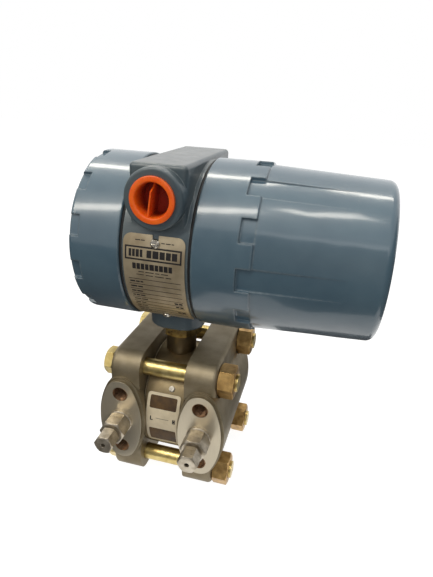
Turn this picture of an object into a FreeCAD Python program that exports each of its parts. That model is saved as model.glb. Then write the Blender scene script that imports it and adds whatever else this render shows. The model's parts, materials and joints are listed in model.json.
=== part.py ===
import FreeCAD, Part
import math
import os
import Sketcher

# Differential pressure transmitter: a capacitance cell bolted between two process flanges, with a
# swivelling two-compartment housing above it. Millimetres, +Z up. The origin is the point of the
# standing plane straight below the middle of the cell. X runs along the flange bolts, from the low
# pressure side at -X to the high pressure side at +X, and the side with the vents faces -Y.

# Driving sizes: alias, value, meaning
SIZES = [
    ("cell_radius", 38.0, "sensor cell, outside radius"),
    ("cell_half_width", 14.7, "sensor cell, half its width along the bolts"),
    ("cell_bore", 24.0, "radius of the chamber that holds the glass insulators"),
    ("cell_web", 2.6, "steel between the insulator chamber and the isolating diaphragm"),
    ("oil_passage", 2.0, "radius of the oil and lead passages in the cell"),
    ("isolator_radius", 28.0, "radius of an isolating diaphragm"),
    ("isolator_recess", 1.1, "depth of the recess that holds an isolating diaphragm"),
    ("isolator_gauge", 0.3, "thickness of an isolating diaphragm"),
    ("sensing_gauge", 0.4, "thickness of the sensing diaphragm"),
    ("weld_ring", 1.4, "width of the bevelled weld ring at each side of the cell"),
    ("weld_ring_drop", 1.0, "how far the weld ring lies below the cell's outside"),
    ("neck_radius", 10.4, "outside radius of the neck tube"),
    ("neck_bore", 7.5, "inside radius of the neck tube"),
    ("neck_seat_depth", 3.4, "depth of the neck's seat below the top of the cell"),
    ("neck_top_room", 7.8, "room between the neck tube's top and the lead tunnel's axis"),
    ("lock_nut_flats", 25.0, "lock nut across flats"),
    ("lock_nut_height", 10.0, "height of the lock nut"),
    ("swivel_gap", 0.3, "running gap under and around the swivelling housing"),
    ("fit_gap", 0.05, "radial gap of pieces that fit in each other"),
    ("lead_radius", 2.6, "radius of the bundle of sensor leads"),
    ("flange_gap", 0.3, "gap between the cell's end and the flange's inner face"),
    ("flange_thickness", 20.3, "process flange thickness at the bolts"),
    ("bolt_spacing_y", 57.0, "flange bolts, spacing from front to rear"),
    ("bolt_cell_gap", 1.9747, "gap between the flange bolts and the cell"),
    ("ear_radius", 11.5, "radius of the flange's corners about the bolts"),
    ("waist_inset", 7.0, "how far the flange narrows between its ears"),
    ("waist_slope", 6.0, "height of the slope from an ear to the waist"),
    ("flange_round", 3.0, "rounding of the flange's outer edges"),
    ("port_spacing", 54.0, "distance between the two process ports"),
    ("port_face", 44.0, "distance of a port pad's face from the cell axis"),
    ("pad_half_width", 14.5, "half the width of a port pad"),
    ("pad_end_radius", 9.6, "radius of a port pad's ends"),
    ("pad_hole_spacing", 41.3, "spacing of the two tapped holes of a pad"),
    ("pad_hole_radius", 4.96, "tapped hole in a rear pad, drilled radius"),
    ("front_hole_radius", 5.14, "tapped hole in a front pad, mean radius of its thread"),
    ("pad_hole_depth", 15.0, "tapped hole in a pad, depth"),
    ("pad_step", 2.6, "height of the machined facing over the casting"),
    ("casting_margin", 1.4, "how much wider the casting is than its facing"),
    ("port_radius", 5.9, "quarter inch pipe thread port, mean radius"),
    ("port_depth", 15.0, "depth of the pipe thread port"),
    ("port_chamfer", 1.0, "countersink of the pipe thread port"),
    ("passage_radius", 3.2, "radius of the flange's drilled passages"),
    ("cavity_radius", 25.0, "radius of the pressure chamber in the flange"),
    ("cavity_depth", 1.6, "depth of the pressure chamber in the flange"),
    ("gasket_inner", 30.0, "process gasket, inside radius"),
    ("gasket_width", 3.2, "process gasket, width"),
    ("gasket_gauge", 2.0, "process gasket, thickness"),
    ("cell_clearance", 1.0, "gap between the pads' inner lips and the cell"),
    ("bolt_radius", 5.55, "flange bolt shank radius"),
    ("bolt_hole_gap", 0.35, "radial gap of a bolt in its flange hole"),
    ("head_flats", 15.9, "bolt head across flats"),
    ("head_height", 6.0, "bolt head height"),
    ("nut_flats", 19.05, "heavy nut across flats"),
    ("nut_height", 10.6, "heavy nut height"),
    ("seat_margin", 0.6, "how far a spot face reaches past a nut's corners"),
    ("bolt_stand_out", 1.6, "bolt end beyond its nut"),
    ("vent_flats", 15.0, "vent seat across flats"),
    ("vent_collar", 7.2, "radius of the vent seat's collar"),
    ("vent_collar_run", 2.8, "length of the vent seat's collar"),
    ("vent_hex_run", 9.6, "length of the vent seat's hexagon"),
    ("vent_nose_run", 1.4, "length of the vent seat's tapered nose"),
    ("vent_shank_run", 11.0, "length of the vent seat's threaded shank"),
    ("vent_bore", 3.2, "bore of the vent seat that the stem turns in"),
    ("vent_orifice", 1.1, "radius of the vent seat's orifice"),
    ("ball_radius", 1.9, "radius of the valve ball at the stem's tip"),
    ("stem_flats", 9.5, "vent stem across flats"),
    ("stem_hex_run", 6.2, "length of the vent stem's hexagon"),
    ("stem_tube_radius", 4.1, "radius of the vent stem's outlet tube"),
    ("stem_tube_run", 4.7, "length of the vent stem's outlet tube"),
    ("stem_bore", 1.6, "radius of the vent stem's outlet"),
    ("stem_thread_run", 9.0, "length of the vent stem's thread inside the seat"),
    ("vent_travel", 3.0, "how far a vent stem backs out"),
    ("label_half_width", 11.3, "cell label, half its width"),
    ("label_gauge", 0.5, "cell label thickness"),
    ("label_sweep", 62.0, "angle that the cell label covers"),
    ("label_corner", 2.0, "cell label corner radius"),
    ("fill_plug_radius", 2.0, "oil fill plug head radius"),
    ("fill_plug_place", 3.9, "oil fill plug, distance along the bolts"),
    ("fill_plug_angle", 36.7, "oil fill plug, angle above the front"),
    ("housing_rise", 116.9, "height of the housing axis above the cell axis"),
    ("cover_step", 1.3, "how far the covers stand out over the housing's middle"),
    ("barrel_left", 19.4, "left end of the housing's middle"),
    ("barrel_right", 18.3, "right end of the housing's middle"),
    ("thread_step", 4.3, "depth of the cover threads below the outside of the middle"),
    ("neck_thread_run", 15.0, "length of the cover threads on the housing"),
    ("chamber_wall", 4.9, "wall between the cover threads and the compartments"),
    ("partition_left", 11.0, "terminal side of the partition, from the middle"),
    ("partition_gauge", 4.0, "thickness of the partition"),
    ("conduit_drop", 17.2, "depth of the conduit entries below the top of the block"),
    ("boss_stand_out", 2.8, "how far the conduit bosses stand out over the middle"),
    ("boss_radius", 16.4, "conduit boss radius"),
    ("boss_round", 1.6, "rounding of the conduit boss"),
    ("conduit_radius", 10.0, "rear conduit entry, mean radius of its half inch pipe thread"),
    ("front_conduit_radius", 10.2, "front conduit entry, radius of its countersunk thread"),
    ("conduit_thread_run", 20.0, "length of the conduit threads"),
    ("conduit_passage", 8.5, "radius of the way in from a conduit thread"),
    ("block_half_width", 16.0, "half the width of the cast block over the barrel"),
    ("block_stand_out", 1.9, "how far the block stands out over the middle"),
    ("block_inset", 3.7, "how far the block's front lies behind the barrel's"),
    ("block_round", 2.5, "rounding of the cast block"),
    ("foot_half_width", 18.0, "half the width of the housing's foot along the bolts"),
    ("foot_half_depth", 21.5, "half the depth of the housing's foot"),
    ("foot_corner", 13.5, "corner radius of the housing's foot"),
    ("foot_stand_out", 5.9, "how far the foot reaches below the middle"),
    ("tunnel_half_width", 14.0, "half the width of the lead tunnel's casting"),
    ("tunnel_roof", 9.5, "height of the lead tunnel's casting over its axis"),
    ("tunnel_inset", 9.0, "lead tunnel's axis, distance from the compartment's wall"),
    ("tunnel_radius", 6.0, "radius of the lead tunnel"),
    ("seal_gauge", 1.7, "width of a cover seal as it shows at the seam"),
    ("seal_stand_out", 0.4, "how far a cover seal stands out over the middle"),
    ("face_gap", 0.1, "gap between faces of pieces that move apart"),
    ("contact_gap", 0.02, "gap under thin plates that lie on a surface"),
    ("thread_gap", 0.35, "radial gap at the cover threads"),
    ("cover_radius", 51.0, "outside radius of the covers"),
    ("cover_wall", 3.6, "wall of the covers"),
    ("cover_edge", 2.2, "rounding of the terminal cover's rim"),
    ("terminal_end", 51.5, "terminal cover's end, from the middle"),
    ("lug_count", 12.0, "wrench lugs round a cover"),
    ("lug_gap_angle", 15.0, "angle of the notch between two lugs"),
    ("terminal_notch_angle", 13.5, "angle of the terminal cover's notches"),
    ("terminal_notch_run", 6.2, "length of the terminal cover's notches"),
    ("notch_depth", 2.2, "depth of the notches below the band"),
    ("terminal_clocking", 42.5, "turn of the closed terminal cover"),
    ("band_end", 52.6, "end of the long cover's band, from the middle"),
    ("notch_start", 44.5, "start of the long cover's notches, from the middle"),
    ("sleeve_step", 1.5, "how much smaller the long cover is just past its band"),
    ("sleeve_taper", 3.3, "how much the long cover narrows to its closed end"),
    ("sleeve_end", 121.8, "long cover's closed end, from the middle"),
    ("sleeve_round", 5.0, "rounding of the long cover's closed end"),
    ("channel_count", 6.0, "long channels that run on from the notches"),
    ("channel_end", 101.0, "where the channels run out, from the middle"),
    ("electronics_clocking", 34.0, "turn of the closed long cover"),
    ("plug_flange_radius", 12.3, "conduit plug flange radius"),
    ("plug_flange", 1.8, "conduit plug flange thickness"),
    ("plug_bore", 8.2, "inside radius of the conduit plug"),
    ("plug_run", 13.0, "length of the conduit plug in its entry"),
    ("plug_floor", 1.6, "thickness of the conduit plug's floor"),
    ("plug_bar", 1.5, "thickness of the conduit plug's grip bar"),
    ("plug_bar_inset", 1.0, "how far the grip bar lies inside the flange face"),
    ("plate_gauge", 0.6, "nameplate thickness"),
    ("plate_left", 18.4, "nameplate's left edge, from the middle"),
    ("plate_right", 16.9, "nameplate's right edge, from the middle"),
    ("plate_top_angle", 17.0, "nameplate's top edge, angle above the front"),
    ("plate_sweep", 77.0, "angle that the nameplate covers"),
    ("plate_corner", 4.5, "nameplate corner radius"),
    ("plate_screw_angle", 12.0, "upper nameplate screw, angle above the front"),
    ("plate_screw_drop", 66.0, "angle between the nameplate screws"),
    ("plate_slot", 1.8, "half the width of the nameplate's slot"),
    ("screw_radius", 1.5, "small screw shank radius"),
    ("screw_head_radius", 2.6, "small screw head radius"),
    ("screw_head", 1.5, "small screw head height"),
    ("screw_run", 5.0, "small screw shank length"),
    ("slot_width", 0.7, "width of a screwdriver slot"),
    ("adjuster_radius", 3.0, "zero and span screw radius"),
    ("adjuster_run", 7.5, "zero and span screw length"),
    ("adjuster_spacing", 16.0, "distance between the zero and span screws"),
    ("adjuster_inset", 0.8, "depth of the zero and span screws below the nameplate"),
    ("board_margin", 4.5, "gap between a circuit board and the compartment's wall"),
    ("board_gauge", 1.6, "circuit board thickness"),
    ("board_start", 24.0, "first circuit board, from the middle"),
    ("board_pitch", 26.0, "distance between circuit boards"),
    ("post_radius", 3.0, "circuit board post radius"),
    ("post_inset", 7.0, "distance of a post from the circuit board's edge"),
    ("capacitor_radius", 4.0, "radius of the board's capacitors"),
    ("capacitor_height", 13.0, "height of the board's capacitors"),
    ("block_run", 14.0, "terminal block, depth from the partition"),
    ("block_width", 56.0, "terminal block width"),
    ("block_height", 24.0, "terminal block height"),
    ("rib_run", 4.0, "how far the ribs between the terminals stand out"),
    ("rib_gauge", 1.6, "thickness of the ribs between the terminals"),
    ("terminal_pitch", 13.0, "distance between terminal screws"),
    ("terminal_head", 4.2, "terminal screw head radius"),
]

DOC = FreeCAD.newDocument("Transmitter")
V = FreeCAD.Vector


class Size:
    """A length or angle, with the sheet formula that it comes from."""

    def __init__(self, formula, value):
        self.formula = formula
        self.value = float(value)

    @staticmethod
    def of(number):
        return number if isinstance(number, Size) else Size("(%r)" % float(number), number)

    def _join(self, sign, other, value):
        return Size("(%s %s %s)" % (self.formula, sign, other.formula), value)

    def __add__(self, other):
        other = Size.of(other)
        return self._join("+", other, self.value + other.value)

    def __sub__(self, other):
        other = Size.of(other)
        return self._join("-", other, self.value - other.value)

    def __mul__(self, other):
        other = Size.of(other)
        return self._join("*", other, self.value * other.value)

    def __truediv__(self, other):
        other = Size.of(other)
        return self._join("/", other, self.value / other.value)

    def __neg__(self):
        return self * -1

    def __radd__(self, other):
        return Size.of(other) + self

    def __rsub__(self, other):
        return Size.of(other) - self

    def __rmul__(self, other):
        return self * other


class Sheet:
    """The spreadsheet of driving sizes; its aliases read as Size values."""

    def __init__(self, rows):
        self.sheet = DOC.addObject("Spreadsheet::Sheet", "Sizes")
        self.sizes = {}
        for row, (alias, value, meaning) in enumerate(rows, 1):
            self.sheet.set("A%d" % row, alias)
            self.sheet.set("B%d" % row, "%g" % value)
            self.sheet.set("C%d" % row, meaning)
            self.sheet.setAlias("B%d" % row, alias)
            self.sizes[alias] = Size("Sizes." + alias, value)

    def __getattr__(self, alias):
        return self.sizes[alias]


S = Sheet(SIZES)
DOC.recompute()


def leg(long_side, short_side):
    """The third side of a right-angled triangle."""
    formula = "sqrt((%s) ^ 2 - (%s) ^ 2)" % (long_side.formula, short_side.formula)
    return Size(formula, math.sqrt(long_side.value ** 2 - short_side.value ** 2))


# Places that several sub-parts share. The origin is the middle of the low side flange's foot, and
# ORIGIN_X is how far the swivel axis lies from it.
FLANGE_FACE = S.cell_half_width + S.flange_gap
FLANGE_BACK = FLANGE_FACE + S.flange_thickness
BOLT_Y = S.bolt_spacing_y / 2
BOLT_Z = leg(S.cell_radius + S.bolt_radius + S.bolt_cell_gap, BOLT_Y)
PORT_X = S.port_spacing / 2
CELL_HEIGHT = BOLT_Z + S.ear_radius
ORIGIN_X = (FLANGE_FACE + FLANGE_BACK) / 2
HOUSING_HEIGHT = CELL_HEIGHT + S.housing_rise
BARREL_RADIUS = S.cover_radius - S.cover_step
THREAD_RADIUS = BARREL_RADIUS - S.thread_step
CHAMBER_RADIUS = THREAD_RADIUS - S.chamber_wall
THREAD_BORE = THREAD_RADIUS + S.thread_gap
SEAL_RADIUS = BARREL_RADIUS + S.seal_stand_out
SLEEVE_RADIUS = S.cover_radius - S.sleeve_step
SLEEVE_END_RADIUS = SLEEVE_RADIUS - S.sleeve_taper
CHANNEL_SHARE = (S.channel_end - S.band_end) / (S.sleeve_end - S.band_end)
CHANNEL_END_RADIUS = SLEEVE_RADIUS - S.sleeve_taper * CHANNEL_SHARE - S.contact_gap * 2
BLOCK_TOP = BARREL_RADIUS + S.block_stand_out
BLOCK_HALF_DEPTH = BARREL_RADIUS - S.block_inset
BOSS_FACE = BARREL_RADIUS + S.boss_stand_out
CONDUIT_RISE = BLOCK_TOP - S.conduit_drop
FOOT_DROP = BARREL_RADIUS + S.foot_stand_out
TUNNEL_RISE = CHAMBER_RADIUS - S.tunnel_inset
TUNNEL_TOP = TUNNEL_RISE - S.tunnel_roof
BOARD_RADIUS = CHAMBER_RADIUS - S.board_margin
POST_CIRCLE = BOARD_RADIUS - S.post_inset
NECK_SEAT = S.cell_radius - S.neck_seat_depth
NECK_RUN = S.housing_rise - TUNNEL_RISE - S.neck_top_room - NECK_SEAT
PARTITION_RIGHT = S.partition_left + S.partition_gauge
TERMINAL_RIM = S.barrel_left + S.seal_gauge
ELECTRONICS_RIM = S.barrel_right + S.seal_gauge
NOTCH_FLOOR = S.cover_radius - S.notch_depth
CELL_END = S.cell_half_width - S.isolator_recess
HEX_CORNER = 1 / math.cos(math.radians(30))
FLATS_UP = 30


# Helpers: sketches and the features that read them

def new_body(label, height):
    """A body whose own origin lies at a height on the Z axis."""
    body = DOC.addObject("PartDesign::Body", label)
    body.Label = label
    stand(body, height)
    return body


def stand(item, height, beside=0):
    """Put a finished piece at its height over the base, beside the housing's swivel axis."""
    item.setExpression("Placement.Base.z", Size.of(height).formula)
    if height:
        item.setExpression("Placement.Base.x", (ORIGIN_X + beside).formula)


def turn(piece, axis, angle):
    """Turn a piece about an axis through its own origin, by a sheet angle."""
    piece.Placement = FreeCAD.Placement(piece.Placement.Base, FreeCAD.Rotation(axis, 1.0))
    piece.setExpression("Placement.Rotation.Angle", Size.of(angle).formula)


def new_sketch(body, role, offset=0):
    """A sketch on one of the body's origin planes, moved along the plane's normal."""
    sketch = body.newObject("Sketcher::SketchObject", body.Label + "_sketch")
    plane = next(item for item in body.Origin.OriginFeatures if item.Role == role)
    sketch.AttachmentSupport = [(plane, "")]
    sketch.MapMode = "FlatFace"
    sketch.setExpression("AttachmentOffset.Base.z", Size.of(offset).formula)
    return sketch


def fix(sketch, element, point, corner):
    """Hold a sketch point at its distances from the sketch origin."""
    for kind, size in zip(("DistanceX", "DistanceY"), corner):
        size = Size.of(size)
        index = sketch.addConstraint(Sketcher.Constraint(kind, -1, 1, element, point, size.value))
        sketch.setExpression("Constraints[%d]" % index, size.formula)


def set_radius(sketch, element, size):
    """Give a circle or an arc its radius."""
    size = Size.of(size)
    index = sketch.addConstraint(Sketcher.Constraint("Radius", element, size.value))
    sketch.setExpression("Constraints[%d]" % index, size.formula)


def at(corner):
    """The sketch point of a pair of sizes."""
    return V(Size.of(corner[0]).value, Size.of(corner[1]).value, 0)


def polygon(body, role, corners, offset=0):
    """A sketch of one closed polygon."""
    sketch = new_sketch(body, role, offset)
    count = len(corners)
    for index, corner in enumerate(corners):
        after = corners[(index + 1) % count]
        sketch.addGeometry(Part.LineSegment(at(corner), at(after)), False)
    for index in range(count):
        sketch.addConstraint(Sketcher.Constraint("Coincident", index, 2, (index + 1) % count, 1))
    for index, corner in enumerate(corners):
        fix(sketch, index, 1, corner)
    return sketch


def circles(body, role, centres, radius, offset=0):
    """A sketch of equal circles."""
    sketch = new_sketch(body, role, offset)
    for index, centre in enumerate(centres):
        sketch.addGeometry(Part.Circle(at(centre), V(0, 0, 1), Size.of(radius).value), False)
        fix(sketch, index, 3, centre)
        set_radius(sketch, index, radius)
    return sketch


def oval(body, role, centre_x, reach, half_width, end_radius):
    """A sketch of a pad's outline: two end arcs about the holes and two wide arcs tangent to them."""
    sketch = new_sketch(body, role)
    bulge = (reach * reach + half_width * half_width - end_radius * end_radius) / (
        2 * (half_width - end_radius))
    shift = bulge - half_width
    lean = math.degrees(math.atan2(reach.value, shift.value))
    middle = centre_x.value
    arcs = [
        (V(middle, reach.value, 0), end_radius, lean, 180 - lean),
        (V(middle + shift.value, 0, 0), bulge, 180 - lean, 180 + lean),
        (V(middle, -reach.value, 0), end_radius, 180 + lean, 360 - lean),
        (V(middle - shift.value, 0, 0), bulge, -lean, lean),
    ]
    for centre, radius, start, stop in arcs:
        circle = Part.Circle(centre, V(0, 0, 1), radius.value)
        arc = Part.ArcOfCircle(circle, math.radians(start), math.radians(stop))
        sketch.addGeometry(arc, False)
    for index in range(4):
        sketch.addConstraint(Sketcher.Constraint("Tangent", index, 2, (index + 1) % 4, 1))
    fix(sketch, 0, 3, (centre_x, reach))
    fix(sketch, 2, 3, (centre_x, -reach))
    for index, (centre, radius, start, stop) in enumerate(arcs):
        if index != 2:
            set_radius(sketch, index, radius)
    sketch.addConstraint(Sketcher.Constraint("Equal", 0, 2))
    return sketch


def feature(body, kind, sketch, flipped=False):
    """A feature of the body that reads one sketch."""
    item = body.newObject("PartDesign::" + kind, body.Label + "_" + kind.lower())
    item.Profile = sketch
    item.Reversed = flipped
    sketch.Visibility = False
    return item


def pad(body, sketch, length, flipped=False, both_ways=False):
    """Extrude a sketch along its normal, or equally to both sides."""
    item = feature(body, "Pad", sketch, flipped)
    item.SideType = "Symmetric" if both_ways else "One side"
    item.setExpression("Length", Size.of(length).formula)
    return item


def must_cut(body, item, before):
    """Stop when a cut has taken nothing away."""
    DOC.recompute()
    if not item.Shape.Volume < before - 1e-6:
        raise RuntimeError("%s of %s cuts nothing" % (item.Name, body.Label))
    return item


def pocket(body, sketch, length, flipped=False, both_ways=False):
    """Cut a sketch's shape against its normal, or along it when flipped."""
    DOC.recompute()
    before = body.Tip.Shape.Volume
    item = feature(body, "Pocket", sketch, flipped)
    item.SideType = "Symmetric" if both_ways else "One side"
    item.setExpression("Length", Size.of(length).formula)
    return must_cut(body, item, before)


def revolve(body, corners, axis="X"):
    """Turn a profile of (along, radius) corners about the X, Y or Z axis of the body."""
    role = "YZ_Plane" if axis == "Y" else "XZ_Plane"
    if axis == "Z":
        corners = [(radius, along) for along, radius in corners]
    sketch = polygon(body, role, corners)
    item = feature(body, "Revolution", sketch)
    item.ReferenceAxis = (sketch, ["V_Axis" if axis == "Z" else "H_Axis"])
    item.Angle = 360
    return item


def groove(body, corners, angle=360, count=1):
    """Cut a profile of (along, radius) corners about the body's X axis, repeated round it."""
    DOC.recompute()
    before = body.Tip.Shape.Volume
    sketch = polygon(body, "XZ_Plane", corners)
    item = feature(body, "Groove", sketch)
    item.ReferenceAxis = (sketch, ["H_Axis"])
    item.Midplane = angle != 360
    item.setExpression("Angle", Size.of(angle).formula)
    must_cut(body, item, before)
    if count == 1:
        return item
    ring = body.newObject("PartDesign::PolarPattern", body.Label + "_pattern")
    ring.Originals = [item]
    ring.Axis = (sketch, ["H_Axis"])
    ring.Angle = 360
    ring.setExpression("Occurrences", Size.of(count).formula)
    body.Tip = ring
    return must_cut(body, ring, item.Shape.Volume)


def soften(body, names, radius, kind="Fillet"):
    """Round or bevel named edges or faces of the body's tip."""
    base = body.Tip
    item = body.newObject("PartDesign::" + kind, body.Label + "_" + kind.lower())
    item.Base = (base, names)
    item.setExpression("Radius" if kind == "Fillet" else "Size", Size.of(radius).formula)
    DOC.recompute()
    return item


def tip_shape(body):
    """The shape that the body's last feature has in the body's own axes."""
    DOC.recompute()
    return body.Tip.Shape


def face_names(body, test):
    """Names of the tip's faces that a test accepts by their centre and their box."""
    faces = tip_shape(body).Faces
    return ["Face%d" % (i + 1) for i, face in enumerate(faces) if test(face.CenterOfMass, face.BoundBox)]


def edge_names(body, test):
    """Names of the tip's edges that a test accepts by their centre and their box."""
    edges = tip_shape(body).Edges
    return ["Edge%d" % (i + 1) for i, edge in enumerate(edges) if test(edge.CenterOfMass, edge.BoundBox)]


def near(one, other):
    """True for two numbers that are the same place."""
    return abs(one - Size.of(other).value) < 1e-3


# Helpers: primitives and booleans

DIRECTIONS = {
    "X": FreeCAD.Rotation(V(0, 1, 0), 90),
    "Y": FreeCAD.Rotation(V(1, 0, 0), 90),
    "Z": FreeCAD.Rotation(),
}


def primitive(kind, name, place, along="Z", spin=0, **sizes):
    """A Part primitive that points along +X, -Y or +Z, with bound sizes and a bound place."""
    item = DOC.addObject("Part::" + kind, name)
    turned = DIRECTIONS[along].multiply(FreeCAD.Rotation(V(0, 0, 1), spin))
    item.Placement = FreeCAD.Placement(V(0, 0, 0), turned)
    for key, size in sizes.items():
        item.setExpression(key, Size.of(size).formula)
    for key, size in zip("xyz", place):
        item.setExpression("Placement.Base." + key, Size.of(size).formula)
    return item


def cylinder(name, radius, length, place, along="Z"):
    """A cylinder that runs from its place along +X, -Y or +Z."""
    return primitive("Cylinder", name, place, along, Radius=radius, Height=length)


def cone(name, start_radius, end_radius, length, place, along="Z"):
    """A cone frustum that runs from its place along +X, -Y or +Z."""
    return primitive("Cone", name, place, along, Radius1=start_radius, Radius2=end_radius, Height=length)


def box(name, length, width, height, place):
    """A box centred on its place in X and Y, standing on it in Z."""
    corner = (place[0] - Size.of(length) / 2, place[1] - Size.of(width) / 2, place[2])
    return primitive("Box", name, corner, Length=length, Width=width, Height=height)


def fuse(name, pieces):
    """Join pieces to one solid."""
    item = DOC.addObject("Part::MultiFuse", name)
    item.Shapes = pieces
    item.Refine = True
    return item


def cut(name, base, tools):
    """Take one tool or several away from a base."""
    item = DOC.addObject("Part::Cut", name)
    item.Base = base
    item.Tool = tools[0] if len(tools) == 1 else fuse(name + "_tools", tools)
    return item


def common(name, pieces):
    """Keep what two pieces share."""
    item = DOC.addObject("Part::MultiCommon", name)
    item.Shapes = pieces
    return item


def group(name, pieces):
    """Separate solids of one sub-part."""
    item = DOC.addObject("Part::Compound", name)
    item.Links = pieces
    return item


def sub_part(item, label, height=0):
    """Name a finished sub-part and stand its own origin at a height on the Z axis."""
    item.Label = label
    stand(item, height)
    return item


def hexagon(name, flats, height, place, along="X", spin=0):
    """A hexagonal prism along +X, -Y or +Z whose corners are bevelled at both ends."""
    corner = flats / 2 * HEX_CORNER
    rim, slope = flats * 0.48, height * 2
    prism = primitive("Prism", name + "_prism", (0, 0, 0), along, spin, Circumradius=corner, Height=height)
    opening = cone(name + "_opening", rim, rim + slope, height, (0, 0, 0), along)
    closing = cone(name + "_closing", rim + slope, rim, height, (0, 0, 0), along)
    item = common(name, [prism, opening, closing])
    for key, size in zip("xyz", place):
        item.setExpression("Placement.Base." + key, Size.of(size).formula)
    return item


# Sensor cell

def sensor_cell():
    """Turned steel cell with bevelled weld rings, insulator chamber and a counterbored neck seat."""
    body = new_body("sensor_cell", CELL_HEIGHT)
    half, chamber = S.cell_half_width, CELL_END - S.cell_web
    shoulder = half - S.weld_ring
    rim = S.cell_radius - S.weld_ring_drop
    revolve(body, [
        (-half, S.isolator_radius), (-half, rim), (-shoulder, rim), (-shoulder, S.cell_radius),
        (shoulder, S.cell_radius), (shoulder, rim), (half, rim), (half, S.isolator_radius),
        (CELL_END, S.isolator_radius), (CELL_END, S.oil_passage), (chamber, S.oil_passage),
        (chamber, S.cell_bore), (-chamber, S.cell_bore), (-chamber, S.oil_passage),
        (-CELL_END, S.oil_passage), (-CELL_END, S.isolator_radius)])
    top = S.cell_radius
    pocket(body, circles(body, "XY_Plane", [(0, 0)], S.neck_radius, top), top - NECK_SEAT)
    pocket(body, circles(body, "XY_Plane", [(0, 0)], S.lead_radius + S.fit_gap, NECK_SEAT),
           NECK_SEAT - S.cell_bore + S.sensing_gauge)


def cell_insides():
    """Glass insulators, sensing diaphragm and the two corrugated isolating diaphragms."""
    chamber = CELL_END - S.cell_web
    thin = S.sensing_gauge / 2
    dish = S.cell_bore * 0.8
    disc = cylinder("sensing_disc", S.cell_bore, S.sensing_gauge, (-thin, 0, 0), "X")
    sub_part(group("sensing_set", [disc]), "sensing_diaphragm", CELL_HEIGHT)
    for side, name in ((-1, "low"), (1, "high")):
        glass = new_body("glass_insulator_" + name, CELL_HEIGHT)
        revolve(glass, [
            (side * thin, S.cell_bore), (side * thin, dish), (side * (thin + 0.4), S.oil_passage),
            (side * chamber, S.oil_passage), (side * chamber, S.cell_bore)])
        isolator(side, name)


def isolator(side, name):
    """Thin round diaphragm with three pressed ripples."""
    body = new_body("isolating_diaphragm_" + name, CELL_HEIGHT)
    back = side * (CELL_END + S.contact_gap)
    front = back + side * S.isolator_gauge
    ripple = side * 0.25
    rings = [S.isolator_radius * share for share in (0.3, 0.36, 0.5, 0.56, 0.7, 0.76)]
    inner = [(back, 0)]
    outer = [(front, 0)]
    for index, ring in enumerate(rings):
        lift = ripple if index % 2 else side * 0
        inner.append((back + lift, ring))
        outer.append((front + lift, ring))
    edge = S.isolator_radius - S.fit_gap
    revolve(body, inner + [(back, edge), (front, edge)] + outer[::-1])


def neck():
    """Neck tube on the cell, its lock nut and the bundle of leads inside it."""
    tube = cylinder("neck_outer", S.neck_radius - S.fit_gap, NECK_RUN, (0, 0, NECK_SEAT))
    bore = cylinder("neck_inner", S.neck_bore, NECK_RUN, (0, 0, NECK_SEAT))
    sub_part(cut("neck_cut", tube, [bore]), "neck_tube", CELL_HEIGHT)
    foot = S.housing_rise - FOOT_DROP
    nut_base = foot - S.swivel_gap - S.lock_nut_height
    nut = hexagon("nut_solid", S.lock_nut_flats, S.lock_nut_height, (0, 0, nut_base), "Z")
    hole = cylinder("lock_nut_hole", S.neck_radius, S.lock_nut_height, (0, 0, nut_base))
    sub_part(cut("lock_nut_cut", nut, [hole]), "neck_lock_nut", CELL_HEIGHT)
    low = S.cell_bore + S.face_gap
    bend = S.housing_rise - TUNNEL_RISE - S.lead_radius - S.swivel_gap
    leads = cylinder("lead_bundle", S.lead_radius, bend - low, (0, 0, low))
    sub_part(group("lead_set", [leads]), "sensor_leads", CELL_HEIGHT)


def cell_trim():
    """Curved label on the front of the cell and the oil fill plug above it."""
    label = new_body("cell_label", CELL_HEIGHT)
    inner = S.cell_radius + S.contact_gap
    sector_plate(label, -S.label_half_width, S.label_half_width, inner, S.label_gauge,
                 S.label_sweep, S.label_corner)
    turn(label, V(1, 0, 0), 90 - S.label_sweep / 2)
    plug = new_body("fill_plug", CELL_HEIGHT)
    low, high = inner, inner + S.fill_plug_radius * 0.4
    sketch = circles(plug, "XY_Plane", [(S.fill_plug_place, 0)], S.fill_plug_radius, low)
    pad(plug, sketch, high - low)
    soften(plug, edge_names(plug, lambda c, b: near(c.z, high)), 0.4)
    turn(plug, V(1, 0, 0), 90 - S.fill_plug_angle)


def sector_plate(body, left, right, inner, gauge, sweep, corner):
    """A thin curved plate that starts at the top of its cylinder and runs down to the front."""
    outer = inner + gauge
    sketch = polygon(body, "XZ_Plane", [(left, inner), (right, inner), (right, outer), (left, outer)])
    item = feature(body, "Revolution", sketch)
    item.ReferenceAxis = (sketch, ["H_Axis"])
    item.setExpression("Angle", Size.of(sweep).formula)
    DOC.recompute()
    if item.Shape.CenterOfMass.y > 0:
        item.Reversed = True
    thin = Size.of(gauge).value * 1.05
    ends = (Size.of(left).value, Size.of(right).value)

    def is_corner(centre, bounds):
        return bounds.DiagonalLength < thin and min(abs(centre.x - end) for end in ends) < 1e-3

    soften(body, edge_names(body, is_corner), corner)


# Process flanges

def process_flange(side, label):
    """Cast flange: a waisted slab on four bolts and an oval barrel that ends in two port pads."""
    body = new_body(label, CELL_HEIGHT)
    face, centre = side * FLANGE_FACE, side * PORT_X
    flange_slab(body, side, face)
    flange_barrel(body, side, centre)
    flange_chamber(body, side, face)
    flange_holes(body, side, face, centre)


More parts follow.
